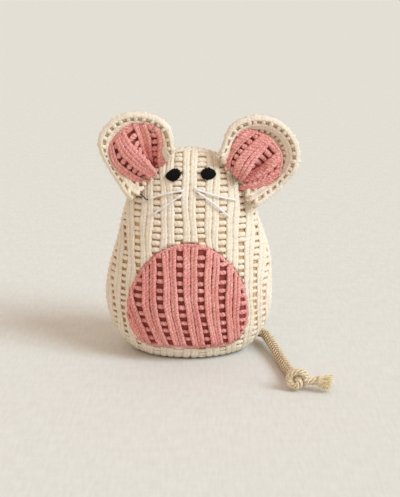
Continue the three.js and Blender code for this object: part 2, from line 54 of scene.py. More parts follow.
def addCamera():
    rise = cameraView["elevation"] * degree
    data = bpy.data.cameras.new("camera")
    data.lens = cameraView["lens"]
    data.sensor_width = cameraView["sensor"]
    data.clip_start = cameraView["near"] * mm
    made = bpy.data.objects.new("camera", data)
    back = Vector((0, -np.cos(rise), np.sin(rise))) * cameraView["distance"]
    made.location = (Vector(cameraView["target"]) + back) * mm
    made.rotation_euler = (np.pi / 2 - rise, 0, 0)
    scene.collection.objects.link(made)
    scene.camera = made


addCamera()
print("camera placed")


# sRGB hex to linear colour
def hexColor(code):
    parts = [int(code[i:i + 2], 16) / 255 for i in (1, 3, 5)]
    linear = [c / 12.92 if c <= 0.04045 else ((c + 0.055) / 1.055) ** 2.4 for c in parts]
    return (*linear, 1.0)


# one node with its settings, and its inputs as values or links
def addNode(tree, kind, settings, inputs):
    made = tree.nodes.new("ShaderNode" + kind)
    for key, value in settings.items():
        setattr(made, key, value)
    for key, value in inputs.items():
        if isinstance(value, bpy.types.NodeSocket):
            tree.links.new(value, made.inputs[key])
        else:
            made.inputs[key].default_value = value
    return made


# a material with the values that are the same all over it
def newMaterial(name, values):
    material = bpy.data.materials.new(name)
    material.use_nodes = True
    shader = material.node_tree.nodes["Principled BSDF"]
    for key, value in values.items():
        shader.inputs[key].default_value = value
    return material, material.node_tree, shader


# common values in millimetres and shares; each material below gives what differs
# single fibres and fine cloth threads are drawn coarser than real so that they show
yarnLook = {"plyPitch": 1.5, "plies": 2, "plyDepth": 0.2, "fibre": 0.5, "toneShare": 0.8, "flankShadeShare": 0.0,
            "fibreRise": 0.9, "bump": 0.5, "roughness": 0.95, "specular": 0.1, "sheen": 0.2}
threadLook = {**yarnLook, "plyPitch": 0.7, "plyDepth": 0.06, "fibre": 0.3, "toneSize": 4, "toneShare": 0.6,
              "grooveShadeShare": 0.5, "fleckShare": 0.3, "fibreRise": 0.3, "roughness": 0.6}
clothLook = {"thread": 0.7, "toneSize": 5, "weaveRise": 0.4, "bump": 0.5, "depth": 0.15, "roughness": 0.95}
coreLook = {"thread": 0.6, "toneSize": 2, "weaveRise": 0.3, "bump": 0.4, "depth": 0.1, "roughness": 1.0}


# spun yarn or thread: plies twisted round each other show as slanting grooves with painted shade in them,
# each strand gets painted shade on its flanks, and loose fibre shows as a matt bloom
def yarnMaterial(name, own, common=yarnLook):
    look = {**common, **own}
    material, tree, shader = newMaterial(name, {
        "Roughness": look["roughness"], "Specular IOR Level": look["specular"], "Sheen Weight": look["sheen"],
        "Sheen Roughness": 0.6, "Sheen Tint": hexColor(look["fleck"])})
    along = addNode(tree, "UVMap", {"uv_map": "yarn"}, {}).outputs["UV"]
    place = addNode(tree, "TexCoord", {}, {}).outputs["Object"]
    waves = []
    for turns in ((np.pi / look["plyPitch"], np.pi * look["plies"], 0), (0, 2 * np.pi, 0)):
        run = addNode(tree, "VectorMath", {"operation": "DOT_PRODUCT"}, {0: along, 1: turns})
        waves.append(addNode(tree, "Math", {"operation": "SINE"}, {0: run.outputs["Value"]}).outputs[0])
    strand = addNode(tree, "Math", {"operation": "ABSOLUTE"}, {0: waves[0]}).outputs[0]
    noises = []
    for size, detail in ((look["fibre"], 3.0), (look["toneSize"], 2.0)):
        grain = {"Vector": place, "Scale": 1 / (size * mm), "Detail": detail}
        noises.append(addNode(tree, "TexNoise", {}, grain).outputs[0])
    fibre, tone = noises
    # layers of colour: the source, the range it is read over, and the share shown at both ends of it; the
    # ply-groove and flank layers are painted shade, darker where shade falls between plies and between
    # strands
    layers = (("tone", tone, (0.35, 0.65), (0.0, look["toneShare"])),
              ("grooveShade", strand, (0.0, 0.7), (look["grooveShadeShare"], 0.0)),
              ("grooveShade", waves[1], (-0.3, 0.75), (look["flankShadeShare"], 0.0)),
              ("fleck", fibre, (0.52, 0.7), (0.0, look["fleckShare"])))
    colour = hexColor(look["colour"])
    for shade, source, (low, high), (first, last) in layers:
        step = addNode(tree, "MapRange", {}, {"Value": source, "From Min": low, "From Max": high,
                                              "To Min": first, "To Max": last})
        mixed = addNode(tree, "Mix", {"data_type": "RGBA"},
                        {0: step.outputs[0], 6: colour, 7: hexColor(look[shade])})
        colour = mixed.outputs[2]
    height = addNode(tree, "Math", {"operation": "MULTIPLY_ADD"}, {0: fibre, 1: look["fibreRise"], 2: strand})
    bump = addNode(tree, "Bump", {}, {"Strength": look["bump"], "Distance": look["plyDepth"] * mm,
                                      "Height": height.outputs[0]})
    tree.links.new(colour, shader.inputs["Base Color"])
    tree.links.new(bump.outputs[0], shader.inputs["Normal"])
    return material


# woven cloth or loose fibre: crossed threads or clumps with a little tone change
def clothMaterial(name, own, common=clothLook):
    look = {**common, **own}
    material, tree, shader = newMaterial(name, {"Roughness": look["roughness"], "Specular IOR Level": 0.2})
    place = addNode(tree, "TexCoord", {}, {}).outputs["Object"]
    turns = 2 * np.pi / (look["thread"] * mm)
    waves = []
    for axis in ((turns, 0, 0), (0, turns * 0.4, turns)):
        run = addNode(tree, "VectorMath", {"operation": "DOT_PRODUCT"}, {0: place, 1: axis})
        waves.append(addNode(tree, "Math", {"operation": "SINE"}, {0: run.outputs["Value"]}).outputs[0])
    weave = addNode(tree, "Math", {"operation": "MULTIPLY"}, {0: waves[0], 1: waves[1]}).outputs[0]
    clumps = {"Vector": place, "Scale": 1 / (look["toneSize"] * mm), "Detail": 4.0}
    tone = addNode(tree, "TexNoise", {}, clumps).outputs[0]
    height = addNode(tree, "Math", {"operation": "MULTIPLY_ADD"}, {0: weave, 1: look["weaveRise"], 2: tone})
    colour = addNode(tree, "Mix", {"data_type": "RGBA"},
                     {0: tone, 6: hexColor(look["colour"]), 7: hexColor(look["tone"])})
    bump = addNode(tree, "Bump", {}, {"Strength": look["bump"], "Distance": look["depth"] * mm,
                                      "Height": height.outputs[0]})
    tree.links.new(colour.outputs[2], shader.inputs["Base Color"])
    tree.links.new(bump.outputs[0], shader.inputs["Normal"])
    return material


# brushed cotton yarn, spun of two plies: pale, matt and a little fluffy, with warm painted shade in its
# grooves and on the flanks of each strand
creamYarn = yarnMaterial("brushedCottonYarnCream", {
    "colour": "#F3E7DA", "tone": "#EFE4D0", "grooveShade": "#DAB187", "fleck": "#FFFAF0", "fibre": 0.45,
    "toneSize": 14, "grooveShadeShare": 0.25, "flankShadeShare": 0.55, "fleckShare": 0.35, "fibreRise": 0.6,
    "sheen": 0.05})
# the same yarn dyed dusty pink: stronger pale speckle along the plies and deeper painted shade in their
# grooves and on each strand's flanks
pinkYarn = yarnMaterial("brushedCottonYarnPink", {
    "colour": "#F6A69F", "tone": "#E68B84", "grooveShade": "#A9463F", "fleck": "#FFE6E1", "plyDepth": 0.25,
    "toneSize": 12, "grooveShadeShare": 0.35, "flankShadeShare": 0.6, "fleckShare": 0.81, "bump": 0.9})
# plain woven cotton bag: unbleached, its tan made darker than the cloth's own to paint the shade seen through
# the open knit
cottonBag = clothMaterial("unbleachedCottonClothPaintedShade", {"colour": "#DDBE91", "tone": "#D0AC7B"})
# brushed cotton inside the ears: a paler ground behind the rolled knit
creamCloth = clothMaterial("brushedCottonClothCream", {"colour": "#E9D8BA", "tone": "#DDC8A2"})
# painted shade: a deep rose sheet behind the pink knit, dark to stand for the shade in its open holes
roseShadeCloth = clothMaterial("paintedShadeClothRose", {
    "colour": "#A85652", "tone": "#964640", "thread": 0.8, "toneSize": 4})
# mercerised cotton floss: black with a thin gloss along each thread and darker painted shade in its ply
# grooves
blackFloss = yarnMaterial("mercerisedFlossBlack", {
    "colour": "#14110F", "tone": "#0E0C0A", "grooveShade": "#080706", "fleck": "#171412", "plyPitch": 0.8,
    "grooveShadeShare": 0.6, "fibreRise": 0.4, "sheen": 0.0}, threadLook)
# bleached polyester sewing thread: cool white, slightly shiny, with grey painted shade in its ply grooves
whiteThread = yarnMaterial("sewingThreadWhite", {
    "colour": "#F6F4F4", "tone": "#ECEAEE", "grooveShade": "#CFCBD4", "fleck": "#FFFFFF", "plyDepth": 0.08,
    "toneSize": 6, "fleckShare": 0.4, "specular": 0.4, "sheen": 0.1}, threadLook)
# dark brown sewing thread: a loose end, duller than the white, with painted shade in its ply grooves
brownThread = yarnMaterial("sewingThreadBrown", {
    "colour": "#5A4433", "tone": "#4A3728", "grooveShade": "#33251A", "fleck": "#7A6350", "roughness": 0.7,
    "specular": 0.3, "sheen": 0.05}, threadLook)
# soft cotton cord: unbleached beige, fluffy, with pale stray fibre and brown painted shade in the grooves of
# its strands
cottonCord = yarnMaterial("softCottonCord", {
    "colour": "#F3E4CD", "tone": "#E6CFAE", "grooveShade": "#A98A60", "fleck": "#F6EBD8", "plyPitch": 1.6,
    "plyDepth": 0.3, "toneSize": 5, "grooveShadeShare": 0.4, "fleckShare": 0.6, "bump": 0.7, "specular": 0.15})
# shaded core of the cord, seen as dots between the strands
cordCore = clothMaterial("cottonCordCore", {"colour": "#A8855C", "tone": "#8F6C45"}, coreLook)
# core of the cord pulled tight in the knot, painted darker as the shade in its folds
knotShadeCore = clothMaterial("paintedShadeKnotCore", {"colour": "#5E4022", "tone": "#4B3119"}, coreLook)
# combed-out end of the cord: paler and yellower at the fibre tips, with a little painted shade along each
# fibre
cordFibre = yarnMaterial("combedCottonFibre", {
    "colour": "#F6ECD6", "tone": "#EAD6A6", "grooveShade": "#D6BC8A", "fleck": "#FBF4E2", "plyPitch": 3,
    "plies": 1, "plyDepth": 0.05, "fibre": 0.4, "toneSize": 2, "toneShare": 1.0, "grooveShadeShare": 0.2,
    "fleckShare": 0.5, "fibreRise": 0.4, "bump": 0.3, "specular": 0.15})
# inner layers, hidden in the finished toy: white fluff, thin pale cloth and dull green leaf
fibreFilling = clothMaterial("polyesterFibreFilling", {
    "colour": "#F1EEE6", "tone": "#E2DED3", "thread": 1.5, "toneSize": 3, "weaveRise": 0.1, "bump": 0.8,
    "depth": 0.5, "roughness": 1.0})
muslin = clothMaterial("cottonMuslin", {
    "colour": "#E8E1D0", "tone": "#DAD1BC", "thread": 0.6, "toneSize": 6, "weaveRise": 0.6, "depth": 0.1})
driedHerb = clothMaterial("driedLeafHerb", {
    "colour": "#7F8452", "tone": "#5E6338", "thread": 2.0, "toneSize": 1.2, "weaveRise": 0.2, "bump": 1.0,
    "depth": 0.6, "roughness": 1.0})
print("materials made")


def smoothStep(low, high, value):
    share = np.clip((value - low) / (high - low), 0, 1)
    return share * share * (3 - 2 * share)


def unit(vectors):
    return vectors / np.maximum(np.linalg.norm(vectors, axis=-1, keepdims=True), 1e-9)


def bezier(points, count):
    a, b, c, d = (np.array(p, float) for p in points)
    t = np.linspace(0, 1, count)[:, None]
    return a * (1 - t) ** 3 + 3 * b * t * (1 - t) ** 2 + 3 * c * t ** 2 * (1 - t) + d * t ** 3


# columns of values read off at places along a run
def readOff(query, run, values):
    return np.stack([np.interp(query, run, column) for column in values.T], -1)


# smooth step between two values with given slopes
def eased(t, span, low, high, lowSlope, highSlope):
    return ((1 + 2 * t) * (1 - t) ** 2 * low + t * t * (3 - 2 * t) * high
            + t * (1 - t) ** 2 * span * lowSlope + t * t * (t - 1) * span * highSlope)


# smooth curve through values at knots, for any shape of query
def splineThrough(knots, values, query):
    knots, values = np.asarray(knots, float), np.asarray(values, float)
    slopes = np.gradient(values, knots, axis=0)
    query = np.clip(query, knots[0], knots[-1])
    low = np.clip(np.searchsorted(knots, query, side="right") - 1, 0, len(knots) - 2)
    span = knots[low + 1] - knots[low]
    t = (query - knots[low]) / span
    extra = (...,) + (None,) * (values.ndim - 1)
    return eased(t[extra], span[extra], values[low], values[low + 1], slopes[low], slopes[low + 1])


def runLengths(points):
    steps = np.linalg.norm(np.diff(points, axis=-2), axis=-1)
    start = np.zeros(steps.shape[:-1] + (1,))
    return np.concatenate([start, np.cumsum(steps, axis=-1)], axis=-1)


# one named mesh object from parts, each a set of points, faces, yarn coordinates and a material place
def buildPiece(name, parts, materials, filled=True):
    points, faces, places, slots, start = [], [], [], [], 0
    for part in parts:
        points.append(part["points"])
        for block in part["faces"]:
            faces += (block + start).tolist()
            slots += [part.get("material", 0)] * len(block)
        places += [np.asarray(p).reshape(-1, 2) for p in part["places"]]
        start += len(part["points"])
    mesh = bpy.data.meshes.new(name)
    points = np.concatenate(points)
    mesh.from_pydata(((handFilled(points) if filled else points) * mm).tolist(), [], faces)
    mesh.polygons.foreach_set("material_index", slots)
    mesh.polygons.foreach_set("use_smooth", [True] * len(faces))
    layer = mesh.uv_layers.new(name="yarn")
    layer.data.foreach_set("uv", np.concatenate(places).ravel())
    for material in materials:
        mesh.materials.append(material)
    mesh.update()
    piece = bpy.data.objects.new(name, mesh)
    scene.collection.objects.link(piece)
    return piece


# tubes along rows of points; rows are broken where good is false, and each end is closed
def tubePart(points, normals, radii, sides, good=None, flat=1.0, material=0):
    if good is None:
        good = np.ones(points.shape[:2], bool)
    good = good & (np.roll(good, 1, 1) | np.roll(good, -1, 1))
    tangents = unit(np.gradient(points, axis=1))
    side = unit(np.cross(tangents, normals))
    rise = np.cross(side, tangents)
    angle = 2 * np.pi * np.arange(sides) / sides
    ring = np.cos(angle)[:, None] * side[:, :, None] + flat * np.sin(angle)[:, None] * rise[:, :, None]
    ring = points[:, :, None] + ring * (radii * np.ones(good.shape))[:, :, None, None]
    numbers = np.arange(good.size * sides).reshape(*good.shape, sides)
    lengths = runLengths(points)
    both = good[:, :-1] & good[:, 1:]
    near, far = numbers[:, :-1][both], numbers[:, 1:][both]
    quads = np.stack([near, far, np.roll(far, -1, 1), np.roll(near, -1, 1)], -1).reshape(-1, 4)
    nearRun, farRun = lengths[:, :-1][both], lengths[:, 1:][both]
    turn = np.arange(sides) / sides
    runs = np.stack([nearRun, farRun, farRun, nearRun], -1)[:, None, :].repeat(sides, 1)
    turns = np.stack([turn, turn, turn + 1 / sides, turn + 1 / sides], -1)[None].repeat(len(runs), 0)
    edge = np.pad(both, ((0, 0), (1, 1)))
    firsts = numbers[edge[:, 1:] & ~edge[:, :-1]]
    lasts = numbers[edge[:, :-1] & ~edge[:, 1:]][:, ::-1]
    caps = np.concatenate([firsts, lasts])
    used, packed = np.unique(np.concatenate([quads.ravel(), caps.ravel()]), return_inverse=True)
    quadCount = quads.size
    return {"points": ring.reshape(-1, 3)[used], "material": material,
            "faces": [packed[:quadCount].reshape(-1, 4), packed[quadCount:].reshape(-1, sides)],
            "places": [np.stack([runs, turns], -1), np.zeros((caps.size, 2))]}


# normals carried along one line without twist
def carriedNormals(points, first=(0, 0, 1)):
    tangents = unit(np.gradient(points, axis=0))
    normal, normals = np.array(first, float), []
    for tangent in tangents:
        normal = unit(normal - tangent * (normal @ tangent))
        normals.append(normal)
    return np.array(normals)


def linePart(points, radii, sides=6, first=(0, 0, 1), material=0):
    points = np.asarray(points, float)
    radii = np.broadcast_to(np.asarray(radii, float), (len(points),))
    return tubePart(points[None], carriedNormals(points, first)[None], radii[None], sides, material=material)


# a skin over a grid of points
def gridPart(points, wrap=False, material=0, keep=None):
    rows, columns = points.shape[:2]
    numbers = np.arange(rows * columns).reshape(rows, columns)
    if wrap:
        numbers = np.concatenate([numbers, numbers[:, :1]], 1)
    quads = np.stack([numbers[:-1, :-1], numbers[:-1, 1:], numbers[1:, 1:], numbers[1:, :-1]], -1)
    quads = quads.reshape(-1, 4)
    if keep is not None:
        quads = quads[keep.ravel()[quads].all(1)]
    used, packed = np.unique(quads, return_inverse=True)
    return {"points": points.reshape(-1, 3)[used], "faces": [packed.reshape(-1, 4)], "material": material,
            "places": [np.zeros((quads.size, 2))]}


# a piece on its body, or, when a span is given, a piece left unparented with its placing baked into its mesh
def addPiece(name, parts, materials, nodes, body="body", filled=True, span=None):
    piece = buildPiece(name, parts, materials, filled)
    if span:
        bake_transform(piece)
    else:
        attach(piece, body)
    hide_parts(*nodes)
    print("made", name, len(piece.data.polygons), "faces")
    return piece


# body outline: half width, half depth and height from the base edge to the crown, and how full its curves are
bodyForm = {"base": (21, 14, 0), "belly": (36.4, 24.5, 24), "shoulder": (28.4, 18.5, 66), "crown": (0, 0, 91),
            "lean": 0.34, "footFull": 0.66, "bellyFull": 0.6, "waistFull": 0.36, "headFull": 0.56}


def bodyOutline():
    corners = ("base", "belly", "shoulder", "crown")
    base, belly, shoulder, crown = (np.array(bodyForm[corner], float) for corner in corners)
    up, level = np.array((0, 0, 1)), np.array((1, 1, 0))
    lean = np.array((-bodyForm["lean"], -bodyForm["lean"] * shoulder[1] / shoulder[0], 1))
    waist = bodyForm["waistFull"] * (shoulder[2] - belly[2])
    dome = bodyForm["headFull"] * (crown[2] - shoulder[2])
    foot = base + bodyForm["footFull"] * (belly * level - base)
    low = bezier((base, foot, belly - bodyForm["bellyFull"] * belly[2] * up, belly), 160)
    middle = bezier((belly, belly + waist * up, shoulder - waist * lean, shoulder), 160)
    head = crown + bodyForm["headFull"] * shoulder * level
    high = bezier((shoulder, shoulder + dome * lean, head, crown), 200)
    return np.concatenate([low[:-1], middle[:-1], high])


outline = bodyOutline()
outlineAlong = np.gradient(outline, axis=0)
outlineOut = unit(np.stack([outlineAlong[:, 2], -outlineAlong[:, 0]], -1))


def halfSizes(height, outset=0.0):
    heights = outline[:, 2] + outset * outlineOut[:, 1]
    heights = np.maximum.accumulate(heights + 1e-6 * np.arange(len(heights)))
    width = np.interp(height, heights, outline[:, 0] + outset * outlineOut[:, 0])
    depth = np.interp(height, heights, outline[:, 1] + outset * outlineOut[:, 0])
    return width, depth


def frontPoint(x, height, outset=0.0):
    width, depth = halfSizes(height, outset)
    share = np.clip(x / np.maximum(width, 1e-6), -1, 1)
    deep = -depth * np.sqrt(1 - share ** 2)
    return np.stack([x * np.ones_like(height), deep, height * np.ones_like(x)], -1)


# uneven filling by hand: each side swells or sinks at a height, over a spread, by a reach
filling = {"left": ((27, 10, 1.3), (52, 8, -0.8), (3, 7, -1.9)), "right": ((45, 10, 1.0), (4, 9, -2.0))}


def handFilled(points):
    x, height = points[:, 0], points[:, 2]
    share = np.clip(np.abs(x) / np.maximum(halfSizes(height)[0], 1), 0, 1)
    swell = {side: sum(reach * np.exp(-((height - middle) / spread) ** 2) for middle, spread, reach in bumps)
             for side, bumps in filling.items()}
    points[:, 0] = x + share ** 5 * np.where(x < 0, -swell["left"], swell["right"])
    return points


# body knit: columns of rib and ladder run straight up each panel and end at its seam
columnPlaces = {"column": (0, 0.5, 1.5, 2.5, 3.5, 4.5, 5.2), "across": (0, 5, 14.4, 22.7, 28.9, 33.4, 36.4)}
seamColumn = columnPlaces["column"][-1]
girthRun = runLengths(np.stack([np.hypot(outline[:, 0], outline[:, 1]) / np.sqrt(2), outline[:, 2]], -1))
shoulderHeight = bodyForm["shoulder"][2]
shoulderRun = np.interp(shoulderHeight, outline[:, 2], girthRun)
# hand-fed columns wander from side to side on their way up: reach, length of the wave and shift by column
drift = ((0.42, 6.5, 1.6), (0.2, 2.9, 4.3))


def columnAcross(column):
    return np.sign(column) * splineThrough(columnPlaces["column"], columnPlaces["across"], np.abs(column))


def wander(column, height):
    return sum(reach * np.sin(height / length + shift * column) for reach, length, shift in drift)


def columnPoint(column, height):
    width = halfSizes(height)[0]
    return frontPoint(np.clip(columnAcross(column) + wander(column, height), -width, width), height)


# heights along each column above the shoulder, by share of the column's length up to the seam
def headColumns():
    columns, shares = np.linspace(-seamColumn, seamColumn, 175), np.linspace(0, 1, 80)
    heights, reach = [], []
    fine = np.linspace(shoulderHeight, bodyForm["crown"][2], 600)
    width = halfSizes(fine)[0]
    for column in columns:
        room = width - np.abs(columnPoint(np.full(fine.shape, column), fine)[:, 0])
        inside = fine[room > 1e-4]
        top = inside[-1] if len(inside) else shoulderHeight
        climb = shoulderHeight + (top - shoulderHeight) * (1 - (1 - np.linspace(0, 1, 200)) ** 2)
        run = runLengths(columnPoint(np.full(climb.shape, column), climb))
        heights.append(np.interp(shares * run[-1], run, climb))
        reach.append(run[-1])
    return columns, np.array(heights), np.array(reach)


headPlaces, headHeights, headReach = headColumns()


def columnTop(column):
    return shoulderRun + np.interp(column, headPlaces, headReach)


def bodySheet(facing):
    def place(column, run):
        column = np.clip(column, -seamColumn, seamColumn)
        reach = np.maximum(np.interp(column, headPlaces, headReach), 1e-3)
        share = np.clip((run - shoulderRun) / reach, 0, 1)
        x = (column + seamColumn) / (2 * seamColumn) * (len(headPlaces) - 1)
        y = share * (headHeights.shape[1] - 1)
        i = np.clip(x.astype(int), 0, len(headPlaces) - 2)
        j = np.clip(y.astype(int), 0, headHeights.shape[1] - 2)
        a, b = x - i, y - j
        high = ((1 - a) * ((1 - b) * headHeights[i, j] + b * headHeights[i, j + 1])
                + a * ((1 - b) * headHeights[i + 1, j] + b * headHeights[i + 1, j + 1]))
        low = np.interp(run, girthRun, outline[:, 2])
        return columnPoint(column, np.where(run <= shoulderRun, low, high)) * np.array((1, facing, 1))
    return place


# one repeat of a knitted row: a rung across the ladder, then two knit loops side by side
def yarnRepeat(knit):
    rung = np.linspace(0, 1, knit["rungSteps"], endpoint=False)
    turn = np.linspace(0, 2 * np.pi, knit["loopSteps"], endpoint=False)
    ladder, gap, deep = knit["ladder"], knit["midGap"], knit["loopDepth"]
    wale = (1 - ladder - gap) / 2
    loop = wale * (turn / (2 * np.pi) + knit["legLean"] * np.sin(2 * turn) + knit["legPinch"] * np.sin(turn))
    across = np.concatenate([ladder * rung, ladder + loop, ladder + wale + gap + loop])
    rise = np.concatenate([-np.ones_like(rung), -np.cos(turn), -np.cos(turn)])
    bulge = -deep + (deep + knit["rungLevel"]) * np.sin(np.pi * rung) ** 0.6
    leg = deep * (1 - 2 * np.cos(turn) ** 4)
    crown = knit["ribCrown"] * np.sin(turn)
    depth = np.concatenate([bulge, leg + crown, leg - crown])
    legs = 1 - knit["legSwell"] * np.cos(2 * turn)
    swell = np.concatenate([1 + knit["rungSwell"] * np.sin(np.pi * rung), legs, legs])
    return across, rise, depth, swell


# loose fibre: fine curved hairs that stand off the yarn, drawn thicker than real so that they show
def fuzzPart(points, normals, radii, fuzz, seed, material=0):
    rng = np.random.default_rng(seed)
    pick = rng.integers(0, len(points), fuzz["count"])
    lean = unit(normals[pick] + fuzz["spread"] * rng.normal(size=(len(pick), 3)))
    curl = unit(rng.normal(size=(len(pick), 3))) * fuzz["curl"]
    reach = fuzz["length"] * rng.uniform(0.5, 1.2, len(pick))
    share = np.linspace(0, 1, 4)[None, :, None]
    start = points[pick] + 0.6 * radii[pick, None] * lean
    hairs = start[:, None] + reach[:, None, None] * (share * lean[:, None] + share ** 2 * curl[:, None])
    hairs[..., 2] = np.maximum(hairs[..., 2], 0.1)  # a hair that meets the floor lies along it
    thick = fuzz["radius"] * np.linspace(1, 0.4, 4) * np.ones((len(pick), 1))
    across = np.broadcast_to(unit(np.cross(lean, curl))[:, None], hairs.shape)
    return tubePart(hairs, across, thick, 3, material=material)


# rows of yarn over a sheet; column counts ribs across and run goes along the columns
def knitPart(sheet, sign, rows, columns, knit, keep, seed, material=0):
    rng = np.random.default_rng(seed)
    across, rise, depth, swell = yarnRepeat(knit)
    starts = np.arange(np.floor(columns[0]) - 1, np.ceil(columns[1]) + 1)
    column = (starts[:, None] + 0.5 - knit["ladder"] / 2 + across).ravel()
    repeats = len(starts)
    shape = (len(rows), len(column))
    jog = [rng.normal(0, size, (len(rows), repeats)) for size in knit["uneven"]]
    jog = [np.array([np.interp(column, starts + 0.5, line) for line in block]) for block in jog]
    column = np.broadcast_to(column, shape)
    run = rows[:, None] + (np.tile(rise, repeats) * knit["loopRise"] + jog[0]) * knit["rowUnit"]
    good = (column >= columns[0]) & (column <= columns[1])
    flat = sheet(column, run)
    wide = (sheet(column + 0.02, run) - sheet(column - 0.02, run)) / 0.04
    step = 0.03 * knit["rowUnit"]
    tall = sheet(column, run + step) - sheet(column, run - step)
    normals = sign * unit(np.cross(wide, tall))
    points = flat + (knit["level"] + np.tile(depth, repeats) + jog[1])[..., None] * normals
    good &= keep(column, run, points)
    crowd = np.clip(np.linalg.norm(wide, axis=-1) / knit["repeat"], knit["thinnest"], 1)
    radii = knit["radius"] * np.tile(swell, repeats) * crowd * (1 + jog[2])
    yarn = tubePart(points, normals, radii, knit["sides"], good, knit["flat"], material)
    fuzz = {**knit["fuzz"], "count": int(good.sum() * knit["fuzz"]["share"])}
    return [yarn, fuzzPart(points[good], normals[good], radii[good], fuzz, seed + 100, material)]


# the body's rib: ladder, gap, lean and pinch are shares of a repeat; depths, radius and rows are millimetres
creamKnit = {"ladder": 0.42, "midGap": 0.05, "legLean": 0.15, "legPinch": 0.07, "legSwell": 0.13,
             "ribCrown": 0.0, "loopRise": 1.0, "loopDepth": 0.24, "rungLevel": 0.1, "rungSwell": 0.22,
             "radius": 1.04, "flat": 0.74, "level": -1.0, "rowUnit": 2.92, "repeat": 10.0,
             "rungSteps": 6, "loopSteps": 14, "sides": 7, "thinnest": 0.55, "uneven": (0.06, 0.1, 0.05),
             "fuzz": {"share": 0.45, "length": 1.3, "radius": 0.035, "spread": 0.8, "curl": 0.7}}
patchForm = {"bottom": 7.4, "top": 53.2, "halfWidth": 25.8, "widest": 22, "foot": 12, "shift": -0.7,
             "cornerFull": (0.72, 0.68), "topFull": 0.52}


# belly patch outline in the front view, closed
def patchEdge(grow=0.0):
    half, foot = patchForm["halfWidth"] + grow, patchForm["foot"]
    bottom, top, widest = patchForm["bottom"] - grow, patchForm["top"] + grow, patchForm["widest"]
    flatFull, sideFull = patchForm["cornerFull"]
    topFull = patchForm["topFull"]
    low = bezier(((foot, bottom), (foot + flatFull * (half - foot), bottom),
                  (half, widest - sideFull * (widest - bottom)), (half, widest)), 40)
    high = bezier(((half, widest), (half, widest + topFull * (top - widest)), (topFull * half, top),
                   (0, top)), 60)
    right = np.concatenate([low, high[1:]])
    left = right[::-1][1:] * np.array((-1, 1))
    across = np.linspace(-foot, foot, 20)[1:-1]
    floor = np.stack([across, np.full(18, bottom)], -1)
    return np.concatenate([right, left, floor]) + np.array((patchForm["shift"], 0))


# distance inside the patch's edge, negative outside
def insidePatch(x, height):
    edge = patchEdge()
    spot = np.stack([x, height], -1)
    gap = np.full(x.shape, 1e9)
    inside = np.zeros(x.shape, bool)
    for a, b in zip(edge, np.roll(edge, -1, 0)):
        gap = np.minimum(gap, np.linalg.norm(spot - a, axis=-1))
        crosses = (a[1] > height) != (b[1] > height)
        rise = b[1] - a[1]
        if rise:
            inside ^= crosses & (x < (b[0] - a[0]) * (height - a[1]) / rise + a[0])
    return np.where(inside, gap, -gap)


bodyPanels = {"front": {"facing": 1, "hairShare": 0.45, "seed": 11},
              "back": {"facing": -1, "hairShare": 0.24, "seed": 12}}
# first row, how far the yarn stops from the column's end, the seam and the floor, and its lap under the patch
bodyRows = {"first": 1.4, "endGap": 0.2, "seamGap": 0.15, "floorGap": 0.85, "underPatch": 0.1}
tailHole = {"centre": (29.9, 4.4, 4.2), "radius": 3.2}
# the edge of each panel: two strands that follow the seam from the base over the crown
selvedge = {"places": (0.95, 2.75), "radius": 1.02, "level": -0.75, "floorGap": 0.7, "step": 0.7}
mirror = np.array((-1, 1, 1))  # left for right


def selvedgeParts(facing):
    parts = []
    for place in selvedge["places"]:
        shown = (outline[:, 1] > place) & (outline[:, 2] > selvedge["floorGap"])
        width, depth, height = outline[shown].T
        out, up = outlineOut[shown].T
        share = np.sqrt(1 - (place / depth) ** 2)
        right = np.stack([width * share, np.full_like(width, -facing * place), height], -1)
        rightOut = np.stack([out * share, -facing * out * place / depth, up], -1)
        line, outs = (np.concatenate([half, half[::-1] * mirror]) for half in (right, rightOut))
        run = runLengths(line)
        even = np.arange(0, run[-1], selvedge["step"])
        line, outs = (readOff(even, run, values) for values in (line, unit(outs)))
        line = line + selvedge["level"] * outs
        parts.append(tubePart(line[None], outs[None], selvedge["radius"], 7, flat=creamKnit["flat"]))
    return parts


def addBodyKnit(part):
    facing = bodyPanels[part]["facing"]
    rows = np.arange(bodyRows["first"], columnTop(0) + 1, creamKnit["rowUnit"])

    def keep(column, run, points):
        x, height = points[..., 0], points[..., 2]
        shown = run <= columnTop(column) - bodyRows["endGap"]
        shown &= np.abs(columnAcross(column)) < halfSizes(height)[0] - bodyRows["seamGap"]
        if part == "front":
            shown &= insidePatch(x, height) < bodyRows["underPatch"]
        else:
            shown &= np.linalg.norm(points - np.array(tailHole["centre"]), axis=-1) > tailHole["radius"]
        return shown & (height > bodyRows["floorGap"])

    knit = {**creamKnit, "fuzz": {**creamKnit["fuzz"], "share": bodyPanels[part]["hairShare"]}}
    parts = knitPart(bodySheet(facing), facing, rows, (-seamColumn, seamColumn), knit, keep,
                     bodyPanels[part]["seed"])
    addPiece("body" + part.capitalize() + "Knit", parts + selvedgeParts(facing), [creamYarn],
             ["body_" + part + "_panel"])


addBodyKnit("front")
addBodyKnit("back")

# cotton bag behind the knit, gently lumpy from the filling: waves round it and up it, and their starts
bagForm = {"inset": 1.4, "lump": 0.25, "halfWidth": 30, "waves": (5, 9), "starts": (1, 2), "around": 72,
           "rings": 60}


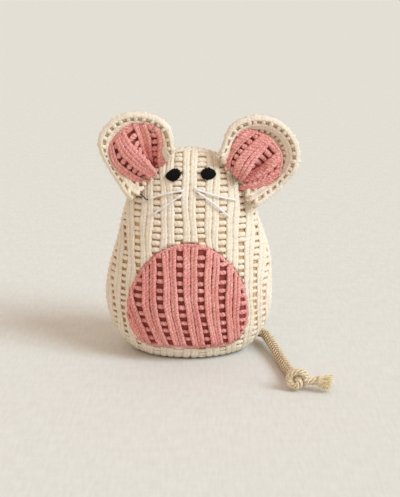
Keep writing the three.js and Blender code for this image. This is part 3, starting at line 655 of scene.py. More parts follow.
def addCottonBag():
    share = np.linspace(0, 1, bagForm["rings"])
    angle = 2 * np.pi * np.arange(bagForm["around"]) / bagForm["around"]
    inner = np.maximum(outline - bagForm["inset"] * outlineOut[:, [0, 0, 1]], 0)
    width, depth, height = readOff(share * girthRun[-1], girthRun, inner).T[..., None]
    (aroundWaves, upWaves), (aroundStart, upStart) = bagForm["waves"], bagForm["starts"]
    lump = 1 + (bagForm["lump"] / bagForm["halfWidth"] * np.sin(aroundWaves * angle + aroundStart)
                * np.sin(upWaves * share + upStart)[:, None])
    points = np.stack([width * np.cos(angle) * lump, depth * np.sin(angle) * lump,
                       height * np.ones_like(angle)], -1)
    bottom = gridPart(np.stack([points[0] * np.array((s, s, 1)) for s in (0.02, 0.5, 1)]), wrap=True)
    addPiece("liningBag", [gridPart(points, wrap=True), bottom], [cottonBag],
             ["lining_front", "lining_back"])


addCottonBag()

# flat knit base
baseKnit = {**creamKnit, "level": -1.55, "rowUnit": 3.0, "repeat": 9, "columns": (-2.5, 2.5), "edgeGap": 0.8,
            "first": 1.5, "height": 0.05, "seed": 13}


def addBaseKnit():
    halves = np.array(bodyForm["base"][:2])

    def flat(column, run):
        return np.stack([column * baseKnit["repeat"], run, np.zeros_like(run) + baseKnit["height"]], -1)

    def keep(column, run, points):
        return ((points[..., :2] / (halves - baseKnit["edgeGap"])) ** 2).sum(-1) < 1

    rows = np.arange(-halves[1] + baseKnit["first"], halves[1], baseKnit["rowUnit"])
    parts = knitPart(flat, -1, rows, baseKnit["columns"], baseKnit, keep, baseKnit["seed"])[:1]
    addPiece("baseKnit", parts, [creamYarn], ["base_panel"])


addBaseKnit()

# seams: a whip stitch over the side seam and round the base
seamForm = {"radius": 0.34, "pitch": 2.6, "reach": 1.1, "sink": -1.2, "rise": 0.0, "slant": 0.5}
sewing = {"sideStart": 0.03, "baseHeight": 1.1}


def stitchParts(line, outward, across, form):
    run = runLengths(line)
    parts = []
    for spot in np.arange(0.5 * form["pitch"], run[-1], form["pitch"]):
        centre, out, side = (readOff(spot, run, values) for values in (line, outward, across))
        out, side = unit(out), unit(side)
        ahead = unit(np.cross(out, side))
        share = np.linspace(-1, 1, 9)[:, None]
        lift = form["sink"] + (form["rise"] - form["sink"]) * np.sqrt(np.maximum(1 - share ** 2, 0))
        points = centre + form["reach"] * share * (side + form["slant"] * ahead) + lift * out
        parts.append(linePart(points, form["radius"], 6, out))
    return parts


def addSideSeam():
    run = np.linspace(sewing["sideStart"], 1, 120) * girthRun[-1]
    right = readOff(run, girthRun, outline) * np.array((1, 0, 1))
    rightOut = readOff(run, girthRun, outlineOut[:, [0, 0, 1]]) * np.array((1, 0, 1))
    line, outward = (np.concatenate([half * mirror, half[::-1][1:]]) for half in (right, rightOut))
    across = np.broadcast_to(np.array((0, 1.0, 0)), line.shape)
    addPiece("sideSeamStitches", stitchParts(line, outward, across, seamForm), [creamYarn],
             ["side_seam_thread"])


def addBaseSeam():
    angle = np.linspace(0, 2 * np.pi, 160)
    width, depth = bodyForm["base"][:2]
    line = np.stack([width * np.cos(angle), depth * np.sin(angle), np.full(160, sewing["baseHeight"])], -1)
    outward = np.broadcast_to(np.array((0, 0, -1.0)), line.shape)
    across = np.stack([np.cos(angle) / width, np.sin(angle) / depth, np.zeros(160)], -1)
    addPiece("baseSeamStitches", stitchParts(line, outward, across, seamForm), [creamYarn],
             ["base_seam_thread"])


addSideSeam()
addBaseSeam()

# belly patch: pink knit with its own columns, turned under round the edge
pinkKnit = {**creamKnit, "ladder": 0.36, "legLean": 0.13, "legPinch": 0.01, "ribCrown": 0.18, "radius": 0.8,
            "level": 0.8, "rowUnit": 3.6, "repeat": 8.75, "loopDepth": 0.4, "rungLevel": -0.1,
            "rungSwell": 0.34}
patchKnit = {"rows": (-2.6, 56), "columns": (-3.8, 3.8), "shift": 0.5, "wander": 0.7, "wanderFrom": 3,
             "middle": 30, "lean": 2.5, "leanCurve": 1.5, "fan": 0.1, "leanDrop": 17, "edge": -0.3,
             "turnFrom": -0.6, "turnUnder": 1.6, "lift": 0.1, "borderRadius": 0.8, "borderInset": 0.5,
             "backInset": 0.6, "backSink": 0.8, "seed": 21}
patchStitch = {**seamForm, "radius": 0.3, "pitch": 4.2, "reach": 0.7, "rise": -0.3, "outset": 0.2,
               "depth": -0.5}


def patchSheet(column, run):
    heights, depths = outline[:, 2], outline[:, 1]
    frontRun = runLengths(np.stack([depths, heights], -1))
    start = np.interp(patchForm["bottom"], heights, frontRun)
    height = np.interp(run + start, frontRun, heights)
    stray = patchKnit["wander"] * wander(column + patchKnit["wanderFrom"], height)
    x = patchKnit["shift"] + pinkKnit["repeat"] * column + stray
    drop = np.maximum(patchKnit["middle"] - height, 0) / patchKnit["leanDrop"]
    x = x + (patchKnit["lean"] - patchKnit["fan"] * x) * drop ** patchKnit["leanCurve"]
    width, depth = halfSizes(height)
    x = np.clip(x, -0.98 * width, 0.98 * width)
    under = 1 - smoothStep(patchKnit["turnFrom"], patchKnit["turnUnder"], insidePatch(x, height))
    flat = frontPoint(x, height)
    out = unit(np.stack([x / width ** 2, flat[..., 1] / depth ** 2, np.zeros_like(x)], -1))
    return flat - patchKnit["turnUnder"] * under[..., None] * out


# level direction off the body's front, near enough for a hem
def bellyOut(points):
    return unit(points * np.array((1, 2, 0)))


# a deep rose sheet under the patch knit: painted shade that shows through its holes
def patchShadeSheet():
    inset = patchKnit["backInset"]
    x, share = np.meshgrid(np.linspace(-1, 1, 40), np.linspace(0, 1, 50))
    height = patchForm["bottom"] + inset + (patchForm["top"] - patchForm["bottom"] - 2 * inset) * share
    side = patchEdge(-inset)[:99]  # the right half, from the foot to the top
    reach = np.interp(height, side[:, 1], side[:, 0] - patchForm["shift"])
    points = frontPoint(x * reach + patchForm["shift"], height, patchKnit["lift"])
    sunk = 1 - smoothStep(0, 2 * inset, insidePatch(points[..., 0], points[..., 2]))
    return gridPart(points - patchKnit["backSink"] * sunk[..., None] * bellyOut(points), material=1)


def addBellyPatch():
    def keep(column, run, points):
        return insidePatch(points[..., 0], points[..., 2]) > patchKnit["edge"]

    rows = np.arange(*patchKnit["rows"], pinkKnit["rowUnit"])
    knit = knitPart(patchSheet, 1, rows, patchKnit["columns"], pinkKnit, keep, patchKnit["seed"])
    hem = patchEdge(-patchKnit["borderInset"])
    hem = frontPoint(*np.concatenate([hem, hem[:2]]).T, patchKnit["lift"])
    border = tubePart(hem[None], bellyOut(hem)[None], patchKnit["borderRadius"], 7)
    addPiece("bellyPatchKnit", [*knit, border, patchShadeSheet()], [pinkYarn, roseShadeCloth],
             ["belly_patch"])
    line = frontPoint(*patchEdge(patchStitch["outset"]).T, patchStitch["depth"])
    out = bellyOut(line)
    across = np.cross(out, unit(np.gradient(line, axis=0)))
    addPiece("bellyPatchStitches", stitchParts(line, out, across, patchStitch), [pinkYarn],
             ["belly_seam_thread"])


addBellyPatch()

# face: satin-stitch eyes and straight-stitch whiskers
faceForm = {"eyeHeight": 81.9, "threadRadius": 0.27, "threads": 15, "bulge": 1.35, "slant": 14,
            "slantShare": 0.6, "overhang": 0.15, "taper": 0.3, "lastThread": 0.97, "uneven": 0.05,
            "moundShare": 0.95}
eyes = {"left": {"x": -6.9, "drop": 0.7, "half": (3.2, 2.5), "lean": 10, "pointed": -1, "seed": 31},
        "right": {"x": 7.9, "drop": 0.3, "half": (3.2, 2.6), "lean": -6, "pointed": 1, "seed": 32}}
# each thread by three places: across, and down from the eyes
whiskerForm = {"radius": 0.43, "looseRadius": 0.28, "lift": 1.15, "sink": -0.8, "waver": 0.12,
               "waverTurns": 23, "endSteepness": 12, "upTilt": 0.008,
               "left_upper_whisker": ((-2.4, 6.5), (-10.3, 8.2), (-17.2, 10.9)),
               "left_lower_whisker": ((-3.4, 8.4), (-8.6, 12.1), (-15.8, 17.3)),
               "right_upper_whisker": ((1.7, 5.7), (10.9, 9), (19.7, 11.7)),
               "right_lower_whisker": ((2.9, 6.9), (9.6, 11.9), (16.6, 18.1)),
               "loose_thread": ((-22.2, 10.3), (-20.2, 9.5), (-17.8, 11.3))}


def frontFrame(x, height):
    step = 0.5
    spots = [frontPoint(np.array(x + a), np.array(height + b)) for a, b in
             ((0, 0), (step, 0), (-step, 0), (0, step), (0, -step))]
    across = unit(spots[1] - spots[2])
    out = unit(np.cross(across, spots[3] - spots[4]))
    return spots[0], across, np.cross(out, across), out


def addEye(side):
    eye = eyes[side]
    centre, across, up, out = frontFrame(eye["x"], faceForm["eyeHeight"] - eye["drop"])
    half, tall = eye["half"]
    turn = eye["lean"] * degree
    right = np.cos(turn) * across + np.sin(turn) * up
    rise = np.cos(turn) * up - np.sin(turn) * across
    slant = np.tan(faceForm["slant"] * degree)
    rng = np.random.default_rng(eye["seed"])
    along = np.linspace(-1, 1, 13)
    parts, last = [], faceForm["lastThread"]
    for share in np.linspace(-last, last, faceForm["threads"]):
        fuller = 1 + rng.normal(0, faceForm["uneven"])
        reach = tall * np.sqrt(1 - share ** 2) * fuller + faceForm["overhang"]
        reach *= 1 - abs(share) * faceForm["taper"] * (share * eye["pointed"] > 0)
        crown = faceForm["bulge"] * np.sqrt(np.maximum(1.08 - share ** 2, 0.05))
        lift = crown * np.sqrt(np.maximum(1 - (0.98 * along) ** 2, 0)) + faceForm["overhang"]
        a = half * share + slant * along * reach * faceForm["slantShare"]
        points = centre + a[:, None] * right + (along * reach)[:, None] * rise + lift[:, None] * out
        parts.append(linePart(points, faceForm["threadRadius"], 6, out))
    angle = np.linspace(0, 2 * np.pi, 24, endpoint=False)[:, None]
    oval = faceForm["moundShare"] * (half * np.cos(angle) * right + tall * np.sin(angle) * rise)
    mound = [centre + share * oval + faceForm["bulge"] * np.sqrt(1 - share ** 2) * out
             for share in (1.0, 0.9, 0.7, 0.4, 0.05)]  # under the threads
    parts.append(gridPart(np.array(mound), wrap=True))
    addPiece(side + "EyeStitches", parts, [blackFloss], [side + "_eye"])


def addFaceThread(node, material, radius):
    share = np.linspace(0, 1, 40)
    x, drop = splineThrough((0, 0.5, 1), whiskerForm[node], share).T
    height = faceForm["eyeHeight"] - drop
    ends = np.sqrt(np.maximum(1 - np.abs(2 * share - 1) ** whiskerForm["endSteepness"], 0))
    lift = whiskerForm["sink"] + (whiskerForm["lift"] - whiskerForm["sink"]) * ends
    lift = lift + whiskerForm["waver"] * np.sin(share * whiskerForm["waverTurns"] + len(node))
    width, depth = halfSizes(height)
    flat = frontPoint(x, height)
    out = unit(np.stack([x / width ** 2, flat[:, 1] / depth ** 2, np.full(40, whiskerForm["upTilt"])], -1))
    words = node.split("_")
    name = words[0] + "".join(w.capitalize() for w in words[1:])
    addPiece(name, [linePart(flat + lift[:, None] * out, radius, 7, (0, -1, 0))], [material], [node])


addEye("left")
addEye("right")
for whisker in ("left_upper_whisker", "left_lower_whisker", "right_upper_whisker", "right_lower_whisker"):
    addFaceThread(whisker, whiteThread, whiskerForm["radius"])
addFaceThread("loose_thread", brownThread, whiskerForm["looseRadius"])

# ears: cream knit rolled over a padded rim, pink knit inside, both gathered at the foot
earForm = {"forward": 5, "rimRadius": 2.8, "rimRise": 0.6, "cup": 3, "pleatDepth": 5, "pleatHalf": 3.2,
           "pleatShift": 2, "stretch": 0.45, "pinch": 0.22, "outerStretch": 1.36, "footReach": 5,
           "headLap": 4, "knitSink": -1.5, "padSink": -2, "liningSink": -2.5, "padInset": 1.3,
           "padLap": 1.5, "inward": (0.9, 0.3), "widestTurn": 110, "bend": (-3.0, 6.0)}
# guide lines of each lining from the foot to the top: across, up the ear and forward of the hinge
ears = {
    "left": {"side": -1, "seat": 84.6, "disc": 17.5, "reach": 7.9, "flat": (0.82, 80), "inner": 0.08,
             "roll": 205, "edgeReach": 3.6, "seed": 41,
             "sewn": ((-20, -5.5), (-13.4, -6.2), (-4, -5.2), (4, -5), (12, -2.5), (20, -1)),
             "guides": {
        -1.5: ((-6.5, -7.5, 3.2), (-10, 0.5, 3.8), (-11, 7, 4.2), (-10, 13.5, 4.2), (-7.2, 17.1, 4.2)),
        -1.0: ((-5, -6, 4.6), (-7.5, -0.5, 5.4), (-9, 5.5, 5.6), (-9, 11.5, 5.2), (-5.5, 17.5, 4.5)),
        -0.5: ((-3.5, -5, 5.4), (-5.5, 0.5, 6), (-6.5, 5.5, 6), (-7, 11, 5.4), (-3.9, 18, 4.3)),
        0.0: ((-0.5, -5, 7.2), (-1, 1, 8.4), (-1.5, 7, 8.2), (-1.5, 13, 6.8), (-0.2, 18.5, 4.8)),
        0.3: ((1, -4.5, 7), (1.5, 1.5, 7.8), (1.5, 6.5, 7.2), (1.5, 12.5, 6), (2.8, 18.5, 4.6)),
        0.5: ((0.5, -4, 3.8), (1.5, 2, 3.4), (2.5, 7.5, 4.2), (4, 12.5, 5), (5.3, 18.4, 4.3)),
        1.0: ((0.5, -4, 1.2), (1, 0.5, 0.8), (3, 5, 1.6), (6.5, 10.5, 3.6), (9.5, 17, 4.6)),
        1.5: ((1.5, -4.5, 2), (3.5, 0, 1.8), (6.5, 3.5, 3.2), (10.5, 7.5, 4.6), (12.6, 13.5, 4.9)),
        2.0: ((2, -5.5, 3.4), (5.5, -2.5, 4), (10, 1.5, 4.8), (13, 5.5, 5.2), (14.2, 9.9, 5)),
        2.5: ((2.5, -6.5, 2.6), (6.5, -3.5, 3.2), (11, 0.5, 4), (14.5, 5, 4.6), (15.3, 9.4, 4.6))}},
    "right": {"side": 1, "seat": 81.3, "disc": 18.4, "reach": 11, "flat": (0.94, 90), "inner": 0,
              "roll": 240, "edgeReach": 4.8, "seed": 42,
              "sewn": ((-20, -2), (-12, -2), (-5, -3.1), (3.5, -2.4), (7, -2.8), (12, -4.1), (20, -4)),
              "guides": {
        -1.5: ((-4, -3.5, 4.2), (-8, -0.5, 4.2), (-11.5, 5, 4.2), (-13, 10, 4.2), (-12.6, 14, 4.2)),
        -1.0: ((-3.5, -2.5, 5.2), (-7.5, 1, 5.2), (-9.5, 6, 5.4), (-10.5, 11, 5.2), (-10.5, 16, 4.6)),
        -0.5: ((-2.5, -2, 5.6), (-6, 2, 6.2), (-7.5, 6.5, 6), (-8, 11.5, 5.4), (-8, 17.5, 4.6)),
        0.0: ((1.5, -1.5, 7.4), (-2, 4, 8.6), (-3.5, 9, 8), (-4, 14, 6.6), (-4.4, 19.6, 4.8)),
        0.3: ((3, -0.5, 7.2), (1.5, 5, 8.2), (0, 9.5, 7.4), (-1, 14.5, 6.2), (-1.8, 20.1, 4.8)),
        0.5: ((3.6, 0, 1.6), (3, 5, 1.1), (2.4, 9.5, 2.2), (1.8, 14.5, 4), (1, 20, 4.2)),
        0.7: ((4, 0.3, 1.6), (3.8, 5.2, 1.2), (4, 9.5, 2.8), (3.6, 14.5, 4.3), (3, 19.8, 4.3)),
        1.0: ((4.2, 0, 3), (4.8, 5, 4), (5.6, 9.8, 4.8), (5.4, 14.5, 5), (4.9, 19.5, 4.4)),
        1.5: ((4.8, -1.4, 3.6), (6.2, 2.2, 4.6), (7.6, 6, 5), (8.2, 10.5, 4.8), (8.4, 17, 4.3)),
        2.0: ((5, -2.5, 4.3), (7.5, -0.5, 4.6), (9.2, 3.5, 4.8), (10, 8, 4.8), (10.8, 14, 4.3)),
        2.5: ((6, -3.5, 3.8), (9, -1, 4), (11, 2.5, 3.8), (12, 7.5, 4.2), (12.3, 12.5, 4.2))}}}
earCream = {**creamKnit, "ladder": 0.34, "rowUnit": 3.0, "repeat": 8.4, "level": -0.9, "radius": 1.0,
            "loopDepth": 0.16, "uneven": (0.03, 0.05, 0.03), "columns": (-3.8, 3.8), "underRim": 0.8,
            "firstRow": 1}
rimCream = {**earCream, "ladder": 0.52, "rowUnit": 4.0, "repeat": 5.0, "firstLadder": 9.3, "radius": 0.78,
            "level": -0.7, "uneven": (0.08, 0.08, 0.08), "columns": (-1.5, 3.2), "edgeInset": 0.3,
            "edgeSink": 0.8}
earPink = {**pinkKnit, "midGap": 0.01, "legPinch": 0.04, "rowUnit": 1.0, "repeat": 7.4, "level": -0.6,
           "radius": 0.95, "columns": (-1.5, 2.5), "rows": 7, "firstRow": 0.5, "pastEnd": 0.2,
           "edgeRadius": 0.75, "hemSteps": (0, 1.6, 3.2), "hemFrom": (0, 3, 3), "rimGap": 0.3,
           "backDepth": 1.4, "backFront": 1.5, "edgeFront": 2.1}
earStitch = {**seamForm, "radius": 0.3, "pitch": 4.5, "reach": 0.9, "rise": -0.3, "turn": 112, "inset": 1.8,
             "lift": 1.6}
faceward = np.array((0, -1.0, 0))  # the way both ears face


def earFrame(ear):
    seat, side = ear["seat"], ear["side"]
    out = unit(readOff(seat, outline[:, 2], outlineOut))
    up = np.array((side * out[0], 0, out[1]))
    across = np.array((up[2], 0, -up[0]))
    hinge = np.array((side * halfSizes(seat)[0], -earForm["forward"], seat))
    return hinge, across, up


def earWorld(ear, local):
    hinge, across, up = earFrame(ear)
    return hinge + local[..., :1] * across + local[..., 1:2] * up + local[..., 2:] * faceward


# share of the outer side, where the ear's edge runs straight down to the head
def outerShare(ear, turn):
    return smoothStep(-0.1, 0.5, ear["side"] * np.sin(turn))


# place on the ear for a distance from its middle, a turn from its top and a rise
def earPlace(ear, radius, turn, rise):
    down, outer = -np.cos(turn), outerShare(ear, turn)
    inner = ear["inner"] * smoothStep(0, 0.6, -ear["side"] * np.sin(turn)) * smoothStep(-0.7, 0.2, down)
    gathered = 1 + earForm["stretch"] * smoothStep(0.5, 1, down) + inner
    near, facing = ear["flat"]
    past = ear["side"] * turn - facing * degree
    edge = near / np.maximum(np.cos(past), 1e-6)
    # eighth powers round the corner where the straight edge meets the flare
    straight = (edge ** -8 + np.where(np.sin(past) > 0, earForm["outerStretch"], 1) ** -8.0) ** -0.125
    straight = 1 + (straight - 1) * np.where(straight < 1, (np.maximum(radius, 0) / ear["disc"]) ** 1.6, 1)
    stretched = radius * (gathered + (straight - gathered) * outer)
    up = stretched * np.cos(turn)
    foot = smoothStep(-0.1, 0.9, -up / ear["disc"])
    across = stretched * np.sin(turn) * (1 - earForm["pinch"] * foot * (1 - outer))
    cup = earForm["cup"] * np.minimum((across ** 2 + up ** 2) / ear["disc"] ** 2, 1)
    fold = np.exp(-((across - earForm["pleatShift"]) / earForm["pleatHalf"]) ** 2)
    pleat = earForm["pleatDepth"] * foot * (fold - 0.5)
    return earWorld(ear, np.stack([across, up + ear["reach"], rise + cup - pleat], -1))


# reach of the ear's flat back, where the rim begins
def flatReach(ear):
    return ear["disc"] - earForm["rimRadius"]


# section of the cream shell by run from the middle of the back: over the rim and in to the front
def rimSection(ear, run, inset):
    rim, centre, roll = earForm["rimRadius"], flatReach(ear), ear["roll"] * degree
    bend = np.clip((run - centre) / rim, 0, roll)
    past = np.maximum(run - centre - rim * roll, 0)
    inward, back = earForm["inward"]
    radius = np.where(run < centre, run, centre + (rim - inset) * np.sin(bend)) - inward * past
    rise = earForm["rimRise"] - (rim - inset) * np.cos(bend) - back * past
    return radius, rise


# run at which the cream shell ends inside the ear, further in at the outer foot
def shellEdge(ear, turn):
    foot = outerShare(ear, turn) * smoothStep(-0.2, 0.5, -np.cos(turn))
    rolled = flatReach(ear) + earForm["rimRadius"] * ear["roll"] * degree
    return rolled + ear["edgeReach"] + earForm["footReach"] * foot


# how far along the ear's section a column of the rim lies: ribs and ladders follow the edge
def rimRun(ear, column):
    return flatReach(ear) + rimCream["firstLadder"] + (column - 0.5) * rimCream["repeat"]


# true above the line where the ear's foot is sewn to the head
def aboveSewn(ear, points):
    hinge, across, up = earFrame(ear)
    line = np.array(ear["sewn"], float)
    return (points - hinge) @ up > np.interp((points - hinge) @ across, line[:, 0], line[:, 1])


def insideHead(points, outset):
    width, depth = halfSizes(points[..., 2], outset)
    level = (points[..., 0] / np.maximum(width, 1e-3)) ** 2 + (points[..., 1] / np.maximum(depth, 1e-3)) ** 2
    return (level < 1) & (points[..., 2] < bodyForm["crown"][2] + outset)


# the back of the foot laps over the head behind the hinge
def lapsHead(ear, run, points):
    behind = (run < ear["disc"] - 1) & ((points - earFrame(ear)[0]) @ faceward < 0)
    return behind & insideHead(points, earForm["headLap"])


def shellKnit(ear):
    def backSheet(column, run):
        across = column * earCream["repeat"]
        radius, rise = rimSection(ear, np.hypot(across, run), 0)
        return earPlace(ear, radius, np.arctan2(across, run), rise)

    def rimSheet(column, run):
        radius, rise = rimSection(ear, rimRun(ear, column), 0)
        return earPlace(ear, radius, run / ear["disc"], rise)

    def sewnOn(run, points):
        outside = ~insideHead(points, earForm["knitSink"])
        return outside & (aboveSewn(ear, points) | lapsHead(ear, run, points))

    def keepBack(column, run, points):
        reach = np.hypot(column * earCream["repeat"], run)
        return (reach < flatReach(ear) + earCream["underRim"]) & sewnOn(reach, points)

    def keepRim(column, run, points):
        reach = rimRun(ear, column)
        return (reach > flatReach(ear)) & (reach < shellEdge(ear, run / ear["disc"])) & sewnOn(reach, points)

    widest = shellEdge(ear, ear["side"] * earForm["widestTurn"] * degree)
    backRows = np.arange(-widest, widest, earCream["rowUnit"]) + earCream["firstRow"]
    rimRows = np.arange(-np.pi, np.pi, rimCream["rowUnit"] / ear["disc"]) * ear["disc"]
    back = knitPart(backSheet, -1, backRows, earCream["columns"], earCream, keepBack, ear["seed"])
    rim = knitPart(rimSheet, 1, rimRows, rimCream["columns"], rimCream, keepRim, ear["seed"] + 5)
    # a strand finishes each edge of the rim
    turn = np.linspace(-np.pi, np.pi, 200)
    run = np.stack([shellEdge(ear, turn) - rimCream["edgeInset"],
                    np.full(200, flatReach(ear) + rimCream["edgeInset"])])
    radius, rise = rimSection(ear, run, rimCream["edgeSink"])
    strands = earPlace(ear, radius, turn * np.ones((2, 1)), rise)
    outward = np.broadcast_to(faceward, strands.shape)
    return [*back, *rim, tubePart(strands, outward, rimCream["radius"], 7, sewnOn(run, strands))]


# padding under the cream knit, from the middle of the back over the rim to just inside the lining
def shellPad(ear):
    turn = np.linspace(0, 2 * np.pi, 64, endpoint=False)[None, :]
    flatRun = np.linspace(0.3, flatReach(ear), 8)
    rollRun = flatReach(ear) + earForm["rimRadius"] * ear["roll"] * degree * np.linspace(0.1, 1, 12)
    lap = shellEdge(ear, turn) + earForm["padLap"] - rollRun[-1]
    inner = rollRun[-1] + lap * np.array((0.5, 1))[:, None]
    run = np.concatenate([np.concatenate([flatRun, rollRun])[:, None] * np.ones(64), inner])
    radius, rise = rimSection(ear, run, earForm["padInset"])
    skin = earPlace(ear, radius, turn * np.ones_like(radius), rise)
    held = aboveSewn(ear, skin) & ~insideHead(skin, earForm["padSink"]) | lapsHead(ear, run, skin)
    return gridPart(skin, wrap=True, material=1, keep=held)


def liningSheet(ear):
    knots = np.array(sorted(ear["guides"]))
    guides = np.array([ear["guides"][k] for k in knots], float)
    steps = np.linspace(0, earPink["rows"], guides.shape[1])

    def place(column, run):
        lines = np.stack([splineThrough(steps, guide, run) for guide in guides])
        slopes = np.gradient(lines, knots, axis=0)
        column = np.clip(column, knots[0], knots[-1])
        low = np.clip(np.searchsorted(knots, column, side="right") - 1, 0, len(knots) - 2)
        span = (knots[low + 1] - knots[low])[..., None]
        t = (column - knots[low])[..., None] / span
        spot = tuple(np.indices(column.shape))
        ends = (block[(index,) + spot] for block in (lines, slopes) for index in (low, low + 1))
        return earWorld(ear, eased(t, span, *ends))
    return place


def liningKnit(ear):
    hinge, sheet = earFrame(ear)[0], liningSheet(ear)
    rows, past = earPink["rows"], earPink["pastEnd"]
    rimCentre = earPlace(ear, np.full(200, flatReach(ear)), np.linspace(-np.pi, np.pi, 200),
                         np.full(200, earForm["rimRise"]))

    def clear(points):
        gap = np.linalg.norm(points[..., None, :] - rimCentre, axis=-1).min(-1)
        return ~insideHead(points, earForm["liningSink"]) & (gap >= earForm["rimRadius"] - earPink["rimGap"])

    def keep(column, run, points):
        return (run > -past) & (run < rows + past) & clear(points)

    # stays in front of the ear's back
    def broughtFront(points, least):
        return points + np.maximum(least - (points - hinge) @ faceward, 0)[..., None] * faceward

    pinkRows = earPink["firstRow"] + earPink["rowUnit"] * np.arange(rows + 1)
    knit = knitPart(sheet, 1, pinkRows, earPink["columns"], earPink, keep, ear["seed"] + 10)
    column, along = np.meshgrid(np.linspace(*earPink["columns"], 60), np.linspace(0, rows, 40))
    flat = sheet(column, along)
    normal = unit(np.cross(sheet(column + 0.02, along) - sheet(column - 0.02, along),
                           sheet(column, along + 0.05) - sheet(column, along - 0.05)))
    # a deep rose sheet behind the lining knit: painted shade that shows through its holes
    liningShadeSheet = gridPart(broughtFront(flat - earPink["backDepth"] * normal, earPink["backFront"]), material=1)
    border, out, runs = (np.concatenate([grid[:-1, 0], grid[-1, :-1], grid[::-1, -1]])
                         for grid in (flat, normal, along))
    # the hem turns back into the ear
    levels = earPink["level"] - earPink["edgeRadius"] * np.array(earPink["hemSteps"])
    edge = broughtFront(border + levels[:, None, None] * out, earPink["edgeFront"])
    shown = clear(edge) & (runs >= np.array(earPink["hemFrom"])[:, None])
    hem = tubePart(edge, np.broadcast_to(out, edge.shape), earPink["edgeRadius"], 7, shown)
    return [*knit, hem, liningShadeSheet]


def earStitches(ear):
    turn = np.linspace(-1, 1, 90) * earStitch["turn"] * degree
    reach = np.full(90, ear["disc"] - earStitch["inset"] * earForm["rimRadius"])
    line = earPlace(ear, reach, turn, np.full(90, earStitch["lift"]))
    outward = np.broadcast_to(faceward, line.shape)
    return stitchParts(line, outward, np.cross(outward, unit(np.gradient(line, axis=0))), earStitch)


def addEar(side):
    ear, body = ears[side], side + "_ear"
    hinge, up = earFrame(ear)[::2]
    span = [Vector((hinge + up * step) * mm) for step in earForm["bend"]]
    shell = [*shellKnit(ear), shellPad(ear)]
    for name, parts, materials, slot, node, fill in (
            ("EarShellKnit", shell, [creamYarn, creamCloth], "cream_knit", "_back", 0.6),
            ("EarLiningKnit", liningKnit(ear), [pinkYarn, roseShadeCloth], "pink_knit", "_lining", 0.4),
            ("EarStitches", earStitches(ear), [pinkYarn], "pink_knit", "_thread", None)):
        addPiece(side + name, parts, materials, [body + node], body, span=span)


addEar("left")
addEar("right")

# tail: cotton cord from its seat in the back panel to a knot and a combed-out end
tailForm = {"pin": (33.672, 5.436, 4.2), "radius": 2.4, "rootStart": (22.5, 3.4, 7.6), "seed": 52,
            "rootSeed": 53,
            "route": ((0, 0, 0), (0.7, -2.6, 0), (1.2, -5.4, -0.1), (1.8, -8.6, -0.2), (2.5, -12, -0.4),
                      (3.2, -15.7, -0.6), (3.9, -19.5, -0.9), (4.7, -23.6, -1.2), (5.5, -27.9, -1.4),
                      (6.2, -32.2, -1.6), (7, -36.5, -1.7), (7.8, -40.8, -1.7), (8.5, -45.1, -1.5),
                      (9.2, -49.4, -1.1), (9.9, -53.7, -0.4), (10.6, -58, 0.5))}
# the knot's loops: right, up and toward the front, from its middle
knotForm = {"height": 5.1, "reach": 3.6, "size": 0.93, "cordRadius": 1.65, "seed": 54,
            "loops": ((-0.7, 0.2, -4.4), (-0.4, 0.2, -1.8), (-0.3, -0.2, 1), (0.6, -1.6, 3), (-0.4, -2.9, 3),
                      (-2.8, -2.4, 2), (-3.7, 0.2, 1.2), (-2.5, 2.7, 1.8), (0.2, 3.7, 2.2), (2.8, 2.7, 1.8),
                      (3.7, 0.1, 0.6), (2.3, -2.6, 0.6), (-0.4, -2.9, -1), (-1.4, -0.8, -2.2),
                      (0.6, 0.4, -1.4), (2.8, 0, 0.6), (4.6, -0.8, 1.2))}
brushForm = {"heading": (0.97, -0.24, 0), "length": 14, "height": 4.3, "fibres": 150, "seed": 51,
             "stub": (0.2, 0.68), "stubRadius": 0.85, "stubSeed": 55, "start": 0.6, "reach": (0.86, 1.04),
             "spread": (2.1, 1.6), "curl": 0.35, "thick": (0.3, 0.17), "floorGap": 0.35}
# a braid: strands wind both ways round a core and pass over and under each other
braid = {"hands": (1, -1), "strands": 4, "pitch": 9.6, "weave": 0.19, "strand": 0.23, "reach": 0.77,
         "core": 0.88, "hairRoot": 0.23, "sides": 6, "flat": 0.9, "step": 0.35, "hairPerLength": 12,
         "fuzz": {"length": 1.0, "radius": 0.06, "spread": 0.9, "curl": 0.7}}
# pulled tight in the knot, the strands lie side by side in a steep twist
twist = {**braid, "hands": (1,), "pitch": 7, "weave": 0, "strand": 0.38, "reach": 0.58, "core": 0.66,
         "hairRoot": 0.42, "sides": 7, "flat": 1.0, "step": None}


def cordParts(line, radius, form, seed):
    run = runLengths(line)
    if form["step"]:
        even = np.linspace(0, run[-1], max(int(run[-1] / form["step"]), 12))
        line, run = readOff(even, run, line), even
    normals = carriedNormals(line)
    side = unit(np.cross(unit(np.gradient(line, axis=0)), normals))
    parts = [linePart(line, form["core"] * radius, 10, normals[0], 1)]
    spots, outs = [], []
    for hand in form["hands"]:
        over = hand * form["weave"] * np.cos(2 * np.pi * form["strands"] * run / form["pitch"])
        reach = (form["reach"] * radius - form["weave"] + over)[:, None]
        for strand in range(form["strands"]):
            turn = 2 * np.pi * (hand * run / form["pitch"] + strand / form["strands"])
            out = np.cos(turn)[:, None] * side + np.sin(turn)[:, None] * normals
            spots.append(line + reach * out)
            outs.append(out)
            parts.append(tubePart(spots[-1][None], out[None], form["strand"] * radius, form["sides"],
                                  flat=form["flat"]))
    roots = np.full(len(spots) * len(line), form["hairRoot"] * radius)
    fuzz = {**form["fuzz"], "count": int(run[-1] * form["hairPerLength"])}
    return [*parts, fuzzPart(np.concatenate(spots), np.concatenate(outs), roots, fuzz, seed, 2)]


